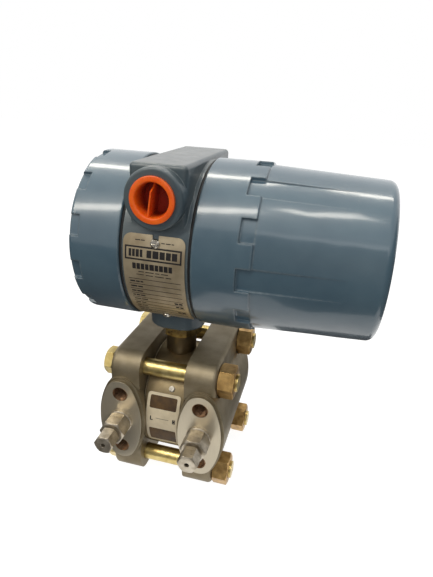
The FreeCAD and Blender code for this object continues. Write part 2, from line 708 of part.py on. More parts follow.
def flange_slab(body, side, face):
    """Slab with ears round the bolts and a rounded outer face."""
    wide, tall = BOLT_Y + S.ear_radius, BOLT_Z + S.ear_radius
    ear, waist = tall - 2 * S.ear_radius, wide - S.waist_inset
    neck_z = ear - S.waist_slope
    quarter = [(wide, tall), (wide, ear), (waist, neck_z)]
    outline = quarter + [(y, -z) for y, z in reversed(quarter)]
    outline += [(-y, -z) for y, z in quarter] + [(-y, z) for y, z in reversed(quarter)]
    pad(body, polygon(body, "YZ_Plane", outline, face), S.flange_thickness, flipped=side < 0)
    corners = edge_names(body, lambda c, b: b.XLength > 1 and near(abs(c.y), wide) and near(abs(c.z), tall))
    soften(body, corners, S.ear_radius)
    feet = edge_names(body, lambda c, b: b.XLength > 1 and near(abs(c.y), wide) and near(abs(c.z), ear))
    soften(body, feet, S.ear_radius / 2)
    outer = face + side * S.flange_thickness
    soften(body, face_names(body, lambda c, b: near(c.x, outer) and b.XLength < 1e-3), S.flange_round)


def flange_barrel(body, side, centre):
    """Oval barrel from the front pad to the rear pad, with machined facings."""
    margin, reach = S.casting_margin, S.pad_hole_spacing / 2
    casting = oval(body, "XZ_Plane", centre, reach, S.pad_half_width + margin, S.pad_end_radius + margin)
    pad(body, casting, 2 * (S.port_face - S.pad_step), both_ways=True)
    facing = oval(body, "XZ_Plane", centre, reach, S.pad_half_width, S.pad_end_radius)
    pad(body, facing, 2 * S.port_face, both_ways=True)
    relief = circles(body, "YZ_Plane", [(0, 0)], S.cell_radius + S.cell_clearance)
    pocket(body, relief, FLANGE_FACE, flipped=side > 0)


def flange_chamber(body, side, face):
    """Pressure chamber and gasket groove in the inner face."""
    pocket(body, circles(body, "YZ_Plane", [(0, 0)], S.cavity_radius, face), S.cavity_depth, side > 0)
    ring = circles(body, "YZ_Plane", [(0, 0)], S.gasket_inner + S.gasket_width + S.fit_gap, face)
    ring.addGeometry(Part.Circle(V(0, 0, 0), V(0, 0, 1), S.gasket_inner.value), False)
    fix(ring, 1, 3, (0, 0))
    set_radius(ring, 1, S.gasket_inner - S.fit_gap)
    pocket(body, ring, S.gasket_gauge - S.flange_gap, side > 0)


def flange_holes(body, side, face, centre):
    """Bolt holes, tapped pad holes, pipe thread ports and the drilled passages between them."""
    corners = [(y, z) for y in (-BOLT_Y, BOLT_Y) for z in (-BOLT_Z, BOLT_Z)]
    holes = circles(body, "YZ_Plane", corners, S.bolt_radius + S.bolt_hole_gap, face)
    pocket(body, holes, S.flange_thickness, side > 0)
    seat_radius = S.nut_flats / 2 * HEX_CORNER + S.seat_margin
    seats = circles(body, "YZ_Plane", corners, seat_radius, side * (FLANGE_BACK - S.contact_gap))
    pocket(body, seats, S.pad_half_width, side > 0)
    reach = S.pad_hole_spacing / 2
    for front in (True, False):
        plane = S.port_face if front else -S.port_face
        tap_radius = S.front_hole_radius if front else S.pad_hole_radius
        taps = circles(body, "XZ_Plane", [(centre, -reach), (centre, reach)], tap_radius, plane)
        pocket(body, taps, S.pad_hole_depth, flipped=not front)
        port = circles(body, "XZ_Plane", [(centre, 0)], S.port_radius, plane)
        pocket(body, port, S.port_depth, flipped=not front)
    passage = circles(body, "XZ_Plane", [(centre, 0)], S.passage_radius)
    pocket(body, passage, 2 * S.port_face, both_ways=True)
    cross = circles(body, "YZ_Plane", [(0, 0)], S.passage_radius, face)
    pocket(body, cross, PORT_X - FLANGE_FACE, side > 0)
    mouths = edge_names(body, lambda c, b: near(abs(c.y), S.port_face) and near(c.z, 0)
                        and b.ZLength < 2.5 * S.port_radius.value)
    soften(body, mouths, S.port_chamfer, "Chamfer")


def process_gasket(side, label):
    """Flat ring between the cell and a flange."""
    body = new_body(label, CELL_HEIGHT)
    near_x, far_x = side * S.cell_half_width, side * (S.cell_half_width + S.gasket_gauge)
    outer = S.gasket_inner + S.gasket_width
    revolve(body, [(near_x, S.gasket_inner), (far_x, S.gasket_inner), (far_x, outer), (near_x, outer)])


def flange_fasteners():
    """Four hexagon bolts with their heads on the low side and four heavy nuts on the high side."""
    bolts, nuts = [], []
    length = 2 * FLANGE_BACK + S.nut_height + S.bolt_stand_out
    for index, (side_y, side_z) in enumerate(((-1, 1), (1, 1), (1, -1), (-1, -1)), 1):
        y, z = side_y * BOLT_Y, side_z * BOLT_Z
        name = "bolt_%d" % index
        head = hexagon(name + "_head", S.head_flats, S.head_height,
                       (-FLANGE_BACK - S.head_height, y, z), "X", FLATS_UP)
        shank = cylinder(name + "_shank", S.bolt_radius, length, (-FLANGE_BACK, y, z), "X")
        bolts.append(fuse(name, [head, shank]))
        nut = hexagon("nut_%d_solid" % index, S.nut_flats, S.nut_height, (FLANGE_BACK, y, z), "X", FLATS_UP)
        hole = cylinder("nut_%d_hole" % index, S.bolt_radius + S.fit_gap, S.nut_height,
                        (FLANGE_BACK, y, z), "X")
        nuts.append(cut("nut_%d" % index, nut, [hole]))
    sub_part(group("bolt_set", bolts), "flange_bolts", CELL_HEIGHT)
    sub_part(group("nut_set", nuts), "flange_nuts", CELL_HEIGHT)


# Vent valves

def vent_valve(side, name):
    """Vent seat in the front port, with its ball and its hexagonal stem."""
    x = side * PORT_X
    mouth = -S.port_face
    collar_end = mouth - S.vent_collar_run
    hex_end = collar_end - S.vent_hex_run
    nose_end = hex_end - S.vent_nose_run
    shank = cylinder("shank_" + name, S.port_radius - S.fit_gap, S.vent_shank_run,
                     (x, mouth + S.vent_shank_run, 0), "Y")
    collar = cylinder("collar_" + name, S.vent_collar, S.vent_collar_run, (x, mouth, 0), "Y")
    body = hexagon("seat_hex_" + name, S.vent_flats, S.vent_hex_run, (x, collar_end, 0), "Y")
    nose = cone("nose_" + name, S.vent_flats * 0.44, S.vent_flats * 0.36, S.vent_nose_run,
                (x, hex_end, 0), "Y")
    stem_tip = nose_end + S.stem_thread_run
    bore_floor = stem_tip + 2 * (S.ball_radius + S.face_gap)
    bore = cylinder("seat_bore_" + name, S.vent_bore, bore_floor - nose_end, (x, bore_floor, 0), "Y")
    orifice = cylinder("orifice_" + name, S.vent_orifice, 2 * S.port_face, (x, 0, 0), "Y")
    solid = fuse("seat_solid_" + name, [shank, collar, body, nose])
    sub_part(cut("seat_cut_" + name, solid, [bore, orifice]), "vent_seat_" + name, CELL_HEIGHT)
    centre = stem_tip + S.face_gap + S.ball_radius
    ball = primitive("Sphere", "ball_" + name, (x, centre, 0), Radius=S.ball_radius)
    sub_part(group("ball_set_" + name, [ball]), "vent_ball_" + name, CELL_HEIGHT)
    vent_stem(x, name, nose_end, stem_tip)


def vent_stem(x, name, nose_end, stem_tip):
    """Stem with its thread inside the seat, a hexagon and an outlet tube with a bore from its end."""
    hex_start = nose_end - S.swivel_gap
    thread = cylinder("stem_thread_" + name, S.vent_bore - S.fit_gap, stem_tip - hex_start,
                      (x, stem_tip, 0), "Y")
    stem_hex = hexagon("stem_hex_" + name, S.stem_flats, S.stem_hex_run, (x, hex_start, 0), "Y")
    tube_start = hex_start - S.stem_hex_run
    tube = cylinder("stem_tube_" + name, S.stem_tube_radius, S.stem_tube_run, (x, tube_start, 0), "Y")
    bore_run = S.stem_tube_run + S.stem_hex_run / 2
    bore = cylinder("stem_bore_" + name, S.stem_bore, bore_run, (x, tube_start + S.stem_hex_run / 2, 0), "Y")
    solid = fuse("stem_solid_" + name, [thread, stem_hex, tube])
    sub_part(cut("stem_cut_" + name, solid, [bore]), "vent_stem_" + name, CELL_HEIGHT)


# Housing

def housing():
    """Cast housing: barrel with two threaded necks, conduit block and bosses, foot and lead tunnel."""
    body = new_body("housing_casting", 0)
    left, right = -S.barrel_left, S.barrel_right
    far_left, far_right = left - S.neck_thread_run, right + S.neck_thread_run
    housing_block(body)
    housing_foot(body)
    revolve(body, [
        (far_left, 0), (far_left, THREAD_RADIUS), (left, THREAD_RADIUS),
        (left, BARREL_RADIUS), (right, BARREL_RADIUS), (right, THREAD_RADIUS),
        (far_right, THREAD_RADIUS), (far_right, 0)])
    groove(body, [(far_left, 0), (far_left, CHAMBER_RADIUS), (S.partition_left, CHAMBER_RADIUS),
                  (S.partition_left, 0)])
    groove(body, [(PARTITION_RIGHT, 0), (PARTITION_RIGHT, CHAMBER_RADIUS),
                  (far_right, CHAMBER_RADIUS), (far_right, 0)])
    lead_tunnel(body)
    housing_bores(body)
    screw_holes = [plate_tool("plate_screw_hole_%d" % index, angle, S.screw_radius + S.fit_gap,
                              BARREL_RADIUS - S.screw_run - S.face_gap, BARREL_RADIUS + 1)
                   for index, angle in enumerate(plate_screw_angles())]
    sub_part(cut("housing_cut", body, screw_holes), "housing_body", HOUSING_HEIGHT)


def housing_block(body):
    """Flat-topped block across the barrel and the round conduit bosses at its two ends."""
    width, top = S.block_half_width, BLOCK_TOP
    corners = [(-width, 0), (width, 0), (width, top), (-width, top)]
    pad(body, polygon(body, "XZ_Plane", corners), 2 * BLOCK_HALF_DEPTH, both_ways=True)
    soften(body, edge_names(body, lambda c, b: c.z > 1), S.block_round)
    boss = circles(body, "XZ_Plane", [(0, CONDUIT_RISE)], S.boss_radius)
    pad(body, boss, 2 * BOSS_FACE, both_ways=True)
    rims = edge_names(body, lambda c, b: near(abs(c.y), BOSS_FACE))
    soften(body, rims, S.boss_round)


def housing_foot(body):
    """Foot with rounded corners that sits over the neck."""
    wide, deep = S.foot_half_width, S.foot_half_depth
    corners = [(-wide, -deep), (wide, -deep), (wide, deep), (-wide, deep)]
    foot = polygon(body, "XY_Plane", corners, -FOOT_DROP)
    pad(body, foot, FOOT_DROP - CHAMBER_RADIUS / 2)
    uprights = edge_names(body, lambda c, b: near(abs(c.x), wide) and near(abs(c.y), deep) and c.z < 0)
    soften(body, uprights, S.foot_corner)
    rim = edge_names(body, lambda c, b: near(c.z, -FOOT_DROP))
    soften(body, rim, S.boss_round)


def lead_tunnel(body):
    """Cast cover over the leads, from the neck through the partition."""
    width = S.tunnel_half_width
    run = S.partition_left + width
    low = -FOOT_DROP + S.swivel_gap * 20
    corners = [(-width, low), (width, low), (width, -TUNNEL_TOP), (-width, -TUNNEL_TOP)]
    pad(body, polygon(body, "YZ_Plane", corners, -width), run)


def housing_bores(body):
    """Conduit entries, neck bore, lead tunnel and the small holes under the nameplate."""
    depth = BOSS_FACE - CHAMBER_RADIUS * 0.4
    for front in (True, False):
        plane = BOSS_FACE if front else -BOSS_FACE
        radius = S.front_conduit_radius if front else S.conduit_radius
        way_in = circles(body, "XZ_Plane", [(0, CONDUIT_RISE)], S.conduit_passage, plane)
        pocket(body, way_in, depth, flipped=not front)
        thread = circles(body, "XZ_Plane", [(0, CONDUIT_RISE)], radius, plane)
        pocket(body, thread, S.conduit_thread_run, flipped=not front)
    bore = circles(body, "XY_Plane", [(0, 0)], S.neck_radius, -FOOT_DROP)
    pocket(body, bore, FOOT_DROP - TUNNEL_RISE + S.tunnel_radius, flipped=True)
    tunnel = circles(body, "YZ_Plane", [(0, -TUNNEL_RISE)], S.tunnel_radius, PARTITION_RIGHT)
    pocket(body, tunnel, PARTITION_RIGHT)
    hole = S.adjuster_radius + S.fit_gap
    places = [(-S.adjuster_spacing / 2, 0), (S.adjuster_spacing / 2, 0)]
    pocket(body, circles(body, "XZ_Plane", places, hole, BARREL_RADIUS),
           S.adjuster_inset + S.adjuster_run + S.face_gap)


def plate_screw_angles():
    """Angles of the two nameplate screws above the front."""
    return [S.plate_screw_angle, S.plate_screw_angle - S.plate_screw_drop]


def plate_tool(name, angle, radius, low, high, reach=0):
    """A radial cylinder through the barrel's front, drawn out upwards to a slot when it has a reach."""
    tool = new_body(name, 0)
    pad(tool, circles(tool, "XY_Plane", [(0, 0)], radius, low), high - low)
    if reach:
        corners = [(-radius, 0), (radius, 0), (radius, reach), (-radius, reach)]
        pad(tool, polygon(tool, "XY_Plane", corners, low), high - low)
    turn(tool, V(1, 0, 0), 90 - angle)
    return tool


def nameplate():
    """Thin curved plate with rounded corners, an open slot at the top and a hole at the bottom."""
    plate = new_body("plate_blank", 0)
    inner = BARREL_RADIUS + S.contact_gap
    sector_plate(plate, -S.plate_left, S.plate_right, inner, S.plate_gauge, S.plate_sweep, S.plate_corner)
    turn(plate, V(1, 0, 0), 90 - S.plate_top_angle)
    upper, lower = plate_screw_angles()
    low, high = BARREL_RADIUS - 2, BARREL_RADIUS + 6
    reach = (S.plate_top_angle - S.plate_screw_angle) * math.radians(1) * high
    slot = plate_tool("plate_slot_tool", upper, S.plate_slot, low, high, reach)
    hole = plate_tool("plate_hole_tool", lower, S.screw_radius + S.fit_gap, low, high)
    sub_part(cut("plate_cut", plate, [slot, hole]), "nameplate", HOUSING_HEIGHT)


def slotted_screw(name, head_radius, shank_radius, head, run, slot=None):
    """A round-headed screw along +Z, with the underside of its head at the origin."""
    body = new_body(name, 0)
    revolve(body, [(-run, 0), (-run, shank_radius), (0, shank_radius), (0, head_radius),
                   (head * 0.5, head_radius), (head, head_radius * 0.7), (head, 0)], "Z")
    half = Size.of(slot or S.slot_width) / 2
    far = head_radius + 1
    corners = [(-far, -half), (far, -half), (far, half), (-far, half)]
    pocket(body, polygon(body, "XY_Plane", corners, head), head * 0.45)
    return body


def plate_screws():
    """Two slotted screws that hold the nameplate."""
    screws = []
    under = BARREL_RADIUS + S.plate_gauge + 2 * S.contact_gap
    for index, angle in enumerate(plate_screw_angles()):
        screw = slotted_screw("plate_screw_%d" % index, S.screw_head_radius, S.screw_radius,
                              S.screw_head, S.screw_run)
        lift = 90 - angle
        screw.Placement = FreeCAD.Placement(V(0, 0, 0), FreeCAD.Rotation(V(1, 0, 0), lift.value))
        screw.setExpression("Placement.Rotation.Angle", lift.formula)
        screw.setExpression("Placement.Base.y", "-(%s) * cos(%s)" % (under.formula, angle.formula))
        screw.setExpression("Placement.Base.z", "(%s) * sin(%s)" % (under.formula, angle.formula))
        screws.append(screw)
    sub_part(group("plate_screw_set", screws), "nameplate_screws", HOUSING_HEIGHT)


def adjuster(name, side):
    """Zero or span screw under the nameplate, with a screwdriver slot."""
    body = new_body(name, HOUSING_HEIGHT)
    outer = BARREL_RADIUS - S.adjuster_inset
    sketch = circles(body, "XZ_Plane", [(0, 0)], S.adjuster_radius, outer)
    pad(body, sketch, S.adjuster_run, flipped=True)
    half, far = S.slot_width / 2, S.adjuster_radius + 1
    corners = [(-far, -half), (far, -half), (far, half), (-far, half)]
    pocket(body, polygon(body, "XZ_Plane", corners, outer), S.slot_width * 2)
    stand(body, HOUSING_HEIGHT, side * S.adjuster_spacing / 2)


# Covers and seals

def cover_seal(label, side, start):
    """Rubber ring that shows as a black line between the barrel and a cover."""
    body = new_body(label, HOUSING_HEIGHT)
    near_x, far_x = side * (start + S.face_gap), side * (start + S.seal_gauge - S.face_gap)
    middle = (near_x + far_x) / 2
    inner, edge = THREAD_RADIUS + S.fit_gap, SEAL_RADIUS - S.seal_gauge / 4
    revolve(body, [(near_x, inner), (far_x, inner), (far_x, edge), (middle, SEAL_RADIUS), (near_x, edge)])


def terminal_cover():
    """Short screwed cover with wrench notches round its closed end."""
    body = new_body("terminal_cover", HOUSING_HEIGHT)
    rim, end = -TERMINAL_RIM, -S.terminal_end
    thread_end = -(S.barrel_left + S.neck_thread_run + S.face_gap * 10)
    inner = S.cover_radius - S.cover_wall
    bevel = S.face_gap * 6
    revolve(body, [
        (rim, THREAD_BORE), (rim, S.cover_radius - bevel), (rim - bevel, S.cover_radius),
        (end, S.cover_radius), (end, 0), (end + S.cover_wall, 0), (end + S.cover_wall, inner),
        (thread_end, inner), (thread_end, THREAD_BORE)])
    edge = edge_names(body, lambda c, b: near(c.x, end) and b.ZLength > 2 * S.cover_radius.value - 1)
    soften(body, edge, S.cover_edge)
    far = S.cover_radius + 2
    start = end + S.terminal_notch_run
    groove(body, [(start, NOTCH_FLOOR), (end - 1, NOTCH_FLOOR), (end - 1, far), (start, far)],
           S.terminal_notch_angle, S.lug_count)
    turn(body, V(1, 0, 0), S.terminal_clocking)


def electronics_cover():
    """Long screwed cover: a lugged band and a tapered sleeve with channels that run out along it."""
    body = new_body("electronics_cover", HOUSING_HEIGHT)
    rim, end = ELECTRONICS_RIM, S.sleeve_end
    thread_end = S.barrel_right + S.neck_thread_run + S.face_gap * 10
    bevel = S.face_gap * 6
    inner = SLEEVE_RADIUS - S.cover_wall - S.notch_depth / 2
    inner_end = SLEEVE_END_RADIUS - S.cover_wall
    revolve(body, [
        (rim, THREAD_BORE), (rim, S.cover_radius - bevel), (rim + bevel, S.cover_radius),
        (S.band_end - bevel, S.cover_radius), (S.band_end, S.cover_radius - bevel),
        (S.band_end, SLEEVE_RADIUS), (end, SLEEVE_END_RADIUS), (end, 0), (end - S.cover_wall, 0),
        (end - S.cover_wall, inner_end), (thread_end, inner), (thread_end, THREAD_BORE)])
    edge = edge_names(body, lambda c, b: near(c.x, end) and b.ZLength > 2 * SLEEVE_END_RADIUS.value - 1)
    soften(body, edge, S.sleeve_round)
    far = S.cover_radius + 2
    groove(body, [(S.notch_start, NOTCH_FLOOR), (S.band_end, NOTCH_FLOOR), (S.band_end, far),
                  (S.notch_start, far)], S.lug_gap_angle, S.lug_count)
    groove(body, [(S.band_end - 0.5, NOTCH_FLOOR), (S.channel_end, CHANNEL_END_RADIUS),
                  (S.channel_end, far), (S.band_end - 0.5, far)], S.lug_gap_angle, S.channel_count)
    turn(body, V(1, 0, 0), S.electronics_clocking)


def conduit_plug():
    """Moulded thread protector: a flanged cup with a flat grip bar across it."""
    body = new_body("conduit_plug", HOUSING_HEIGHT + CONDUIT_RISE)
    face = -BOSS_FACE - S.face_gap
    outer = face - S.plug_flange
    tip = face + S.plug_run
    shell = S.front_conduit_radius - S.fit_gap
    revolve(body, [
        (outer, S.plug_bore), (outer, S.plug_flange_radius - 0.5), (outer + 0.5, S.plug_flange_radius),
        (face, S.plug_flange_radius), (face, shell), (tip, shell - S.plug_bar / 4), (tip, 0),
        (tip - S.plug_floor, 0), (tip - S.plug_floor, S.plug_bore - 0.3)], "Y")
    half = S.plug_bar / 2
    wide = S.plug_bore + 0.5
    corners = [(-half, -wide), (half, -wide), (half, wide), (-half, wide)]
    bar_face = BOSS_FACE + S.plug_flange - S.plug_bar_inset
    bar_run = S.plug_run + S.plug_flange - S.plug_bar_inset - S.plug_floor / 2
    pad(body, polygon(body, "XZ_Plane", corners, bar_face), bar_run, flipped=True)


# Inside the housing

def terminal_block():
    """Moulded block on the partition, with its four terminal screws and two fixing screws."""
    x = S.partition_left - S.block_run / 2
    base = box("block_base", S.block_run, S.block_width, S.block_height, (x, 0, -S.block_height / 2))
    ribs = []
    for index in range(3):
        y = (index - 1) * S.terminal_pitch
        rib = box("block_rib_%d" % index, S.rib_run, S.rib_gauge, S.block_height,
                  (S.partition_left - S.block_run + 0.1 - S.rib_run / 2, y, -S.block_height / 2))
        ribs.append(rib)
    holes = []
    screws = []
    front = S.partition_left - S.block_run
    for index in range(4):
        y = (index - 1.5) * S.terminal_pitch
        holes.append(cylinder("terminal_hole_%d" % index, S.screw_radius + S.fit_gap, S.screw_run + 1,
                              (front, y, 0), "X"))
        screw = slotted_screw("terminal_screw_%d" % index, S.terminal_head, S.screw_radius,
                              S.screw_head * 1.5, S.screw_run)
        screw.Placement = FreeCAD.Placement(V(0, 0, 0), FreeCAD.Rotation(V(0, 1, 0), -90))
        screw.setExpression("Placement.Base.x", front.formula)
        screw.setExpression("Placement.Base.y", y.formula)
        screws.append(screw)
    solid = fuse("block_solid", [base] + ribs)
    sub_part(cut("block_cut", solid, holes), "terminal_block", HOUSING_HEIGHT)
    sub_part(group("terminal_screw_set", screws), "terminal_screws", HOUSING_HEIGHT)


def electronics():
    """Three round circuit boards on three posts, with end screws and their larger components."""
    places = [(POST_CIRCLE * math.cos(a), POST_CIRCLE * math.sin(a))
              for a in (math.radians(d) for d in (90, 210, 330))]
    starts = [S.board_start + index * S.board_pitch for index in range(3)]
    end = starts[-1] + S.board_gauge
    posts, screws = [], []
    for index, (y, z) in enumerate(places):
        post = cylinder("post_%d_solid" % index, S.post_radius, end - PARTITION_RIGHT,
                        (PARTITION_RIGHT, y, z), "X")
        depth = S.screw_run + 1
        tap = cylinder("post_%d_tap" % index, S.screw_radius + S.fit_gap, depth, (end - depth, y, z), "X")
        posts.append(cut("post_%d" % index, post, [tap]))
        screw = slotted_screw("board_screw_%d" % index, S.post_radius * 1.5, S.screw_radius,
                              S.screw_head, S.screw_run)
        screw.Placement = FreeCAD.Placement(V(0, 0, 0), DIRECTIONS["X"])
        for key, size in zip("xyz", (end + S.contact_gap, y, z)):
            screw.setExpression("Placement.Base." + key, Size.of(size).formula)
        screws.append(screw)
    sub_part(group("post_set", posts), "board_posts", HOUSING_HEIGHT)
    sub_part(group("board_screw_set", screws), "board_screws", HOUSING_HEIGHT)
    for label, x in zip(("sensor_board", "calibration_board", "amplifier_board"), starts):
        disc = cylinder(label + "_disc", BOARD_RADIUS, S.board_gauge, (x, 0, 0), "X")
        holes = []
        for index, (y, z) in enumerate(places):
            hole = cylinder("%s_hole_%d" % (label, index), S.post_radius + S.fit_gap, S.board_gauge,
                            (x, y, z), "X")
            holes.append(hole)
        sub_part(cut(label + "_cut", disc, holes), label, HOUSING_HEIGHT)
    board_components([start + S.board_gauge for start in starts])
    lead_connector()


def board_components(faces):
    """Transformer, capacitors, headers and chips that stand on the boards."""
    boxes = [
        ("transformer", 1, 11, 20, 16, -8, 0), ("low_header", 0, 8, 26, 5, 0, 12.5),
        ("high_header", 1, 8, 26, 5, 6, 16.5), ("processor", 2, 3, 20, 20, -2, -2),
        ("converter", 2, 4, 12, 8, 16, 12),
    ]
    parts = [box(name, depth, wide, tall, (faces[board] + depth / 2, y, z - tall / 2))
             for name, board, depth, wide, tall, y, z in boxes]
    for index, (y, z) in enumerate(((14, -12), (4, -20))):
        parts.append(cylinder("capacitor_%d" % index, S.capacitor_radius, S.capacitor_height,
                              (faces[1], y, z), "X"))
    sub_part(group("component_set", parts), "board_components", HOUSING_HEIGHT)


def lead_connector():
    """Plug between the partition and the first board, with the leads that come through the tunnel."""
    room = S.board_start - PARTITION_RIGHT
    plug = box("lead_plug", room, S.tunnel_radius * 2, S.tunnel_radius * 1.2,
               (PARTITION_RIGHT + room / 2, 0, -TUNNEL_RISE - S.tunnel_radius * 0.6))
    leads = cylinder("lead_run", S.lead_radius, PARTITION_RIGHT + room / 2, (0, 0, -TUNNEL_RISE), "X")
    sub_part(fuse("lead_connector_solid", [plug, leads]), "lead_connector", HOUSING_HEIGHT)


def build():
    """Make every sub-part."""
    sensor_cell()
    cell_insides()
    neck()
    cell_trim()
    for side, name in ((-1, "low"), (1, "high")):
        process_flange(side, "process_flange_" + name)
        process_gasket(side, "process_gasket_" + name)
        vent_valve(side, name)
    flange_fasteners()
    housing()
    nameplate()
    plate_screws()
    adjuster("zero_screw", -1)
    adjuster("span_screw", 1)
    cover_seal("terminal_cover_seal", -1, S.barrel_left)
    cover_seal("electronics_cover_seal", 1, S.barrel_right)
    terminal_cover()
    electronics_cover()
    conduit_plug()
    terminal_block()
    electronics()


NODES = [
    "sensor_cell", "sensing_diaphragm", "glass_insulator_low", "glass_insulator_high",
    "isolating_diaphragm_low", "isolating_diaphragm_high", "neck_tube", "neck_lock_nut", "sensor_leads",
    "cell_label", "fill_plug", "process_flange_low", "process_flange_high", "process_gasket_low",
    "process_gasket_high", "vent_seat_low", "vent_seat_high", "vent_ball_low", "vent_ball_high",
    "vent_stem_low", "vent_stem_high", "flange_bolts", "flange_nuts", "housing_body", "nameplate",
    "nameplate_screws", "zero_screw", "span_screw", "terminal_cover_seal", "electronics_cover_seal",
    "terminal_cover", "electronics_cover", "conduit_plug", "terminal_block", "terminal_screws",
    "board_posts", "board_screws", "sensor_board", "calibration_board", "amplifier_board",
    "board_components", "lead_connector",
]


def check_and_write():
    """Stop at any failed object, then write each sub-part to its own file."""
    DOC.recompute()
    for item in DOC.Objects:
        if "Invalid" in item.State or "Error" in item.State:
            raise RuntimeError("%s did not build: %s" % (item.Label, item.State))
    os.makedirs("parts", exist_ok=True)
    for label in NODES:
        shape = DOC.getObjectsByLabel(label)[0].Shape
        if shape.isNull() or not shape.isValid() or not shape.Solids:
            raise RuntimeError("%s has no valid solid" % label)
        shape.exportStep("parts/%s.step" % label)
        print("%-26s %2d solids %10.1f mm3" % (label, len(shape.Solids), shape.Volume))


build()
check_and_write()
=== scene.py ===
"""Looks of a differential pressure transmitter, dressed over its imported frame.

The frame's nodes carry the shapes. Each sub-assembly below takes its nodes, smooths copies of
them, gives them a procedural finish and adds what the solids leave out: printing, screw threads
and weld beads. The vent valves' seats and stems and the conduit plug are built new in their
nodes' places. Lengths are in metres in the part's frame, with +Z up, the flange bolts along X and
the nameplate towards -Y.
"""

import json
import logging
import math
import random
from dataclasses import dataclass, field
from enum import Enum
from typing import Any, Iterable, Sequence

import bmesh
import bpy
from mathutils import Matrix, Quaternion, Vector

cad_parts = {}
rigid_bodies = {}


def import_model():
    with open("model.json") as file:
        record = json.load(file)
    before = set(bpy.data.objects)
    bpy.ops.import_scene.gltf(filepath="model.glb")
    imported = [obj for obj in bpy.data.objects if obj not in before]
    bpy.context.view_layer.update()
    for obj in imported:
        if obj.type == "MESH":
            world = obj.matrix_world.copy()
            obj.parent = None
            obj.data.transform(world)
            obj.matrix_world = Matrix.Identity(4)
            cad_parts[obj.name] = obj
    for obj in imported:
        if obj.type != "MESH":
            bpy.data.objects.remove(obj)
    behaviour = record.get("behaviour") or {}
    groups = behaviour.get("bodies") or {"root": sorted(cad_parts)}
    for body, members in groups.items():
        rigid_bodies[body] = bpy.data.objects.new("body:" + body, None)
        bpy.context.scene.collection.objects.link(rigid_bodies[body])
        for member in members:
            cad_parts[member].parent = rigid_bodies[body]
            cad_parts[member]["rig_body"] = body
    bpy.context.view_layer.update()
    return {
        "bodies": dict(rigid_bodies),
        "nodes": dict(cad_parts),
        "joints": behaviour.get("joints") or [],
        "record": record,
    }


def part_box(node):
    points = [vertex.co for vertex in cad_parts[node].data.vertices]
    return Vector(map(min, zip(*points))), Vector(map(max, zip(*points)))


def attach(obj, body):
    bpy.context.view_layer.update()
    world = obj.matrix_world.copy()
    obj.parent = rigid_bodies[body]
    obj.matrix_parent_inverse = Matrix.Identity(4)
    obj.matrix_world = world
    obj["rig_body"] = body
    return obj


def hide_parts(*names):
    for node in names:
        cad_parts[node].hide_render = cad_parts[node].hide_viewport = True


LOG = logging.getLogger("transmitter")

MM = 0.001
IMAGE_LONG_SIDE = 577.0
MERGE_DISTANCE = 4e-6
CELL_AXIS_Z = 47.0 * MM
HOUSING_AXIS_Z = 163.9 * MM
PAD_FACE = 44.0 * MM

Colour = tuple[float, float, float]
Socket = bpy.types.NodeSocket
Mesh = bpy.types.Mesh
Material = bpy.types.Material
Object = bpy.types.Object


def tone(red: int, green: int, blue: int) -> Colour:
    """Turn a paint chart colour of 0 to 255 into the linear colour that a shader takes.

    Args:
        red: Red share of the chart colour.
        green: Green share of the chart colour.
        blue: Blue share of the chart colour.

    Returns:
        The same colour in linear light.
    """
    def linear(share: float) -> float:
        """One channel in linear light."""
        return share / 12.92 if share <= 0.04045 else ((share + 0.055) / 1.055) ** 2.4
    return linear(red / 255), linear(green / 255), linear(blue / 255)


def opaque(colour: Colour) -> tuple[float, float, float, float]:
    """A colour with full alpha, as a colour socket takes it."""
    return (*colour, 1.0)


# Node trees


class NodeTree:
    """A node tree, with the steps that both materials and recipes are built with."""

    def __init__(self, tree: bpy.types.NodeTree) -> None:
        """Work on a tree."""
        self.tree = tree

    def add(self, kind: str, inputs: dict[Any, Any] | None = None, **settings: Any) -> bpy.types.Node:
        """Add a node, set its properties and feed its inputs.

        Args:
            kind: Blender's name of the node type.
            inputs: Input names or indexes, with sockets or values.
            settings: Properties of the node and their values.

        Returns:
            The new node.
        """
        node = self.tree.nodes.new(kind)
        for key, value in settings.items():
            setattr(node, key, value)
        for key, value in (inputs or {}).items():
            self.feed(node.inputs[key], value)
        return node

    def feed(self, target: Socket, value: Any) -> None:
        """Link an input to a socket, or set it to a plain value.

        Args:
            target: The input.
            value: Socket, number or colour that it gets.
        """
        if isinstance(value, Socket):
            self.tree.links.new(value, target)
        else:
            target.default_value = value

    def calc(self, operation: str, *values: Any) -> Socket:
        """One step of arithmetic on numbers or sockets."""
        return self.add("ShaderNodeMath", dict(enumerate(values)), operation=operation).outputs[0]


def emptied(owner: Material | bpy.types.World) -> NodeTree:
    """Give a material or world nodes of its own, with none in place.

    Args:
        owner: The material or world.

    Returns:
        Its empty node tree.
    """
    owner.use_nodes = True
    owner.node_tree.nodes.clear()
    return NodeTree(owner.node_tree)


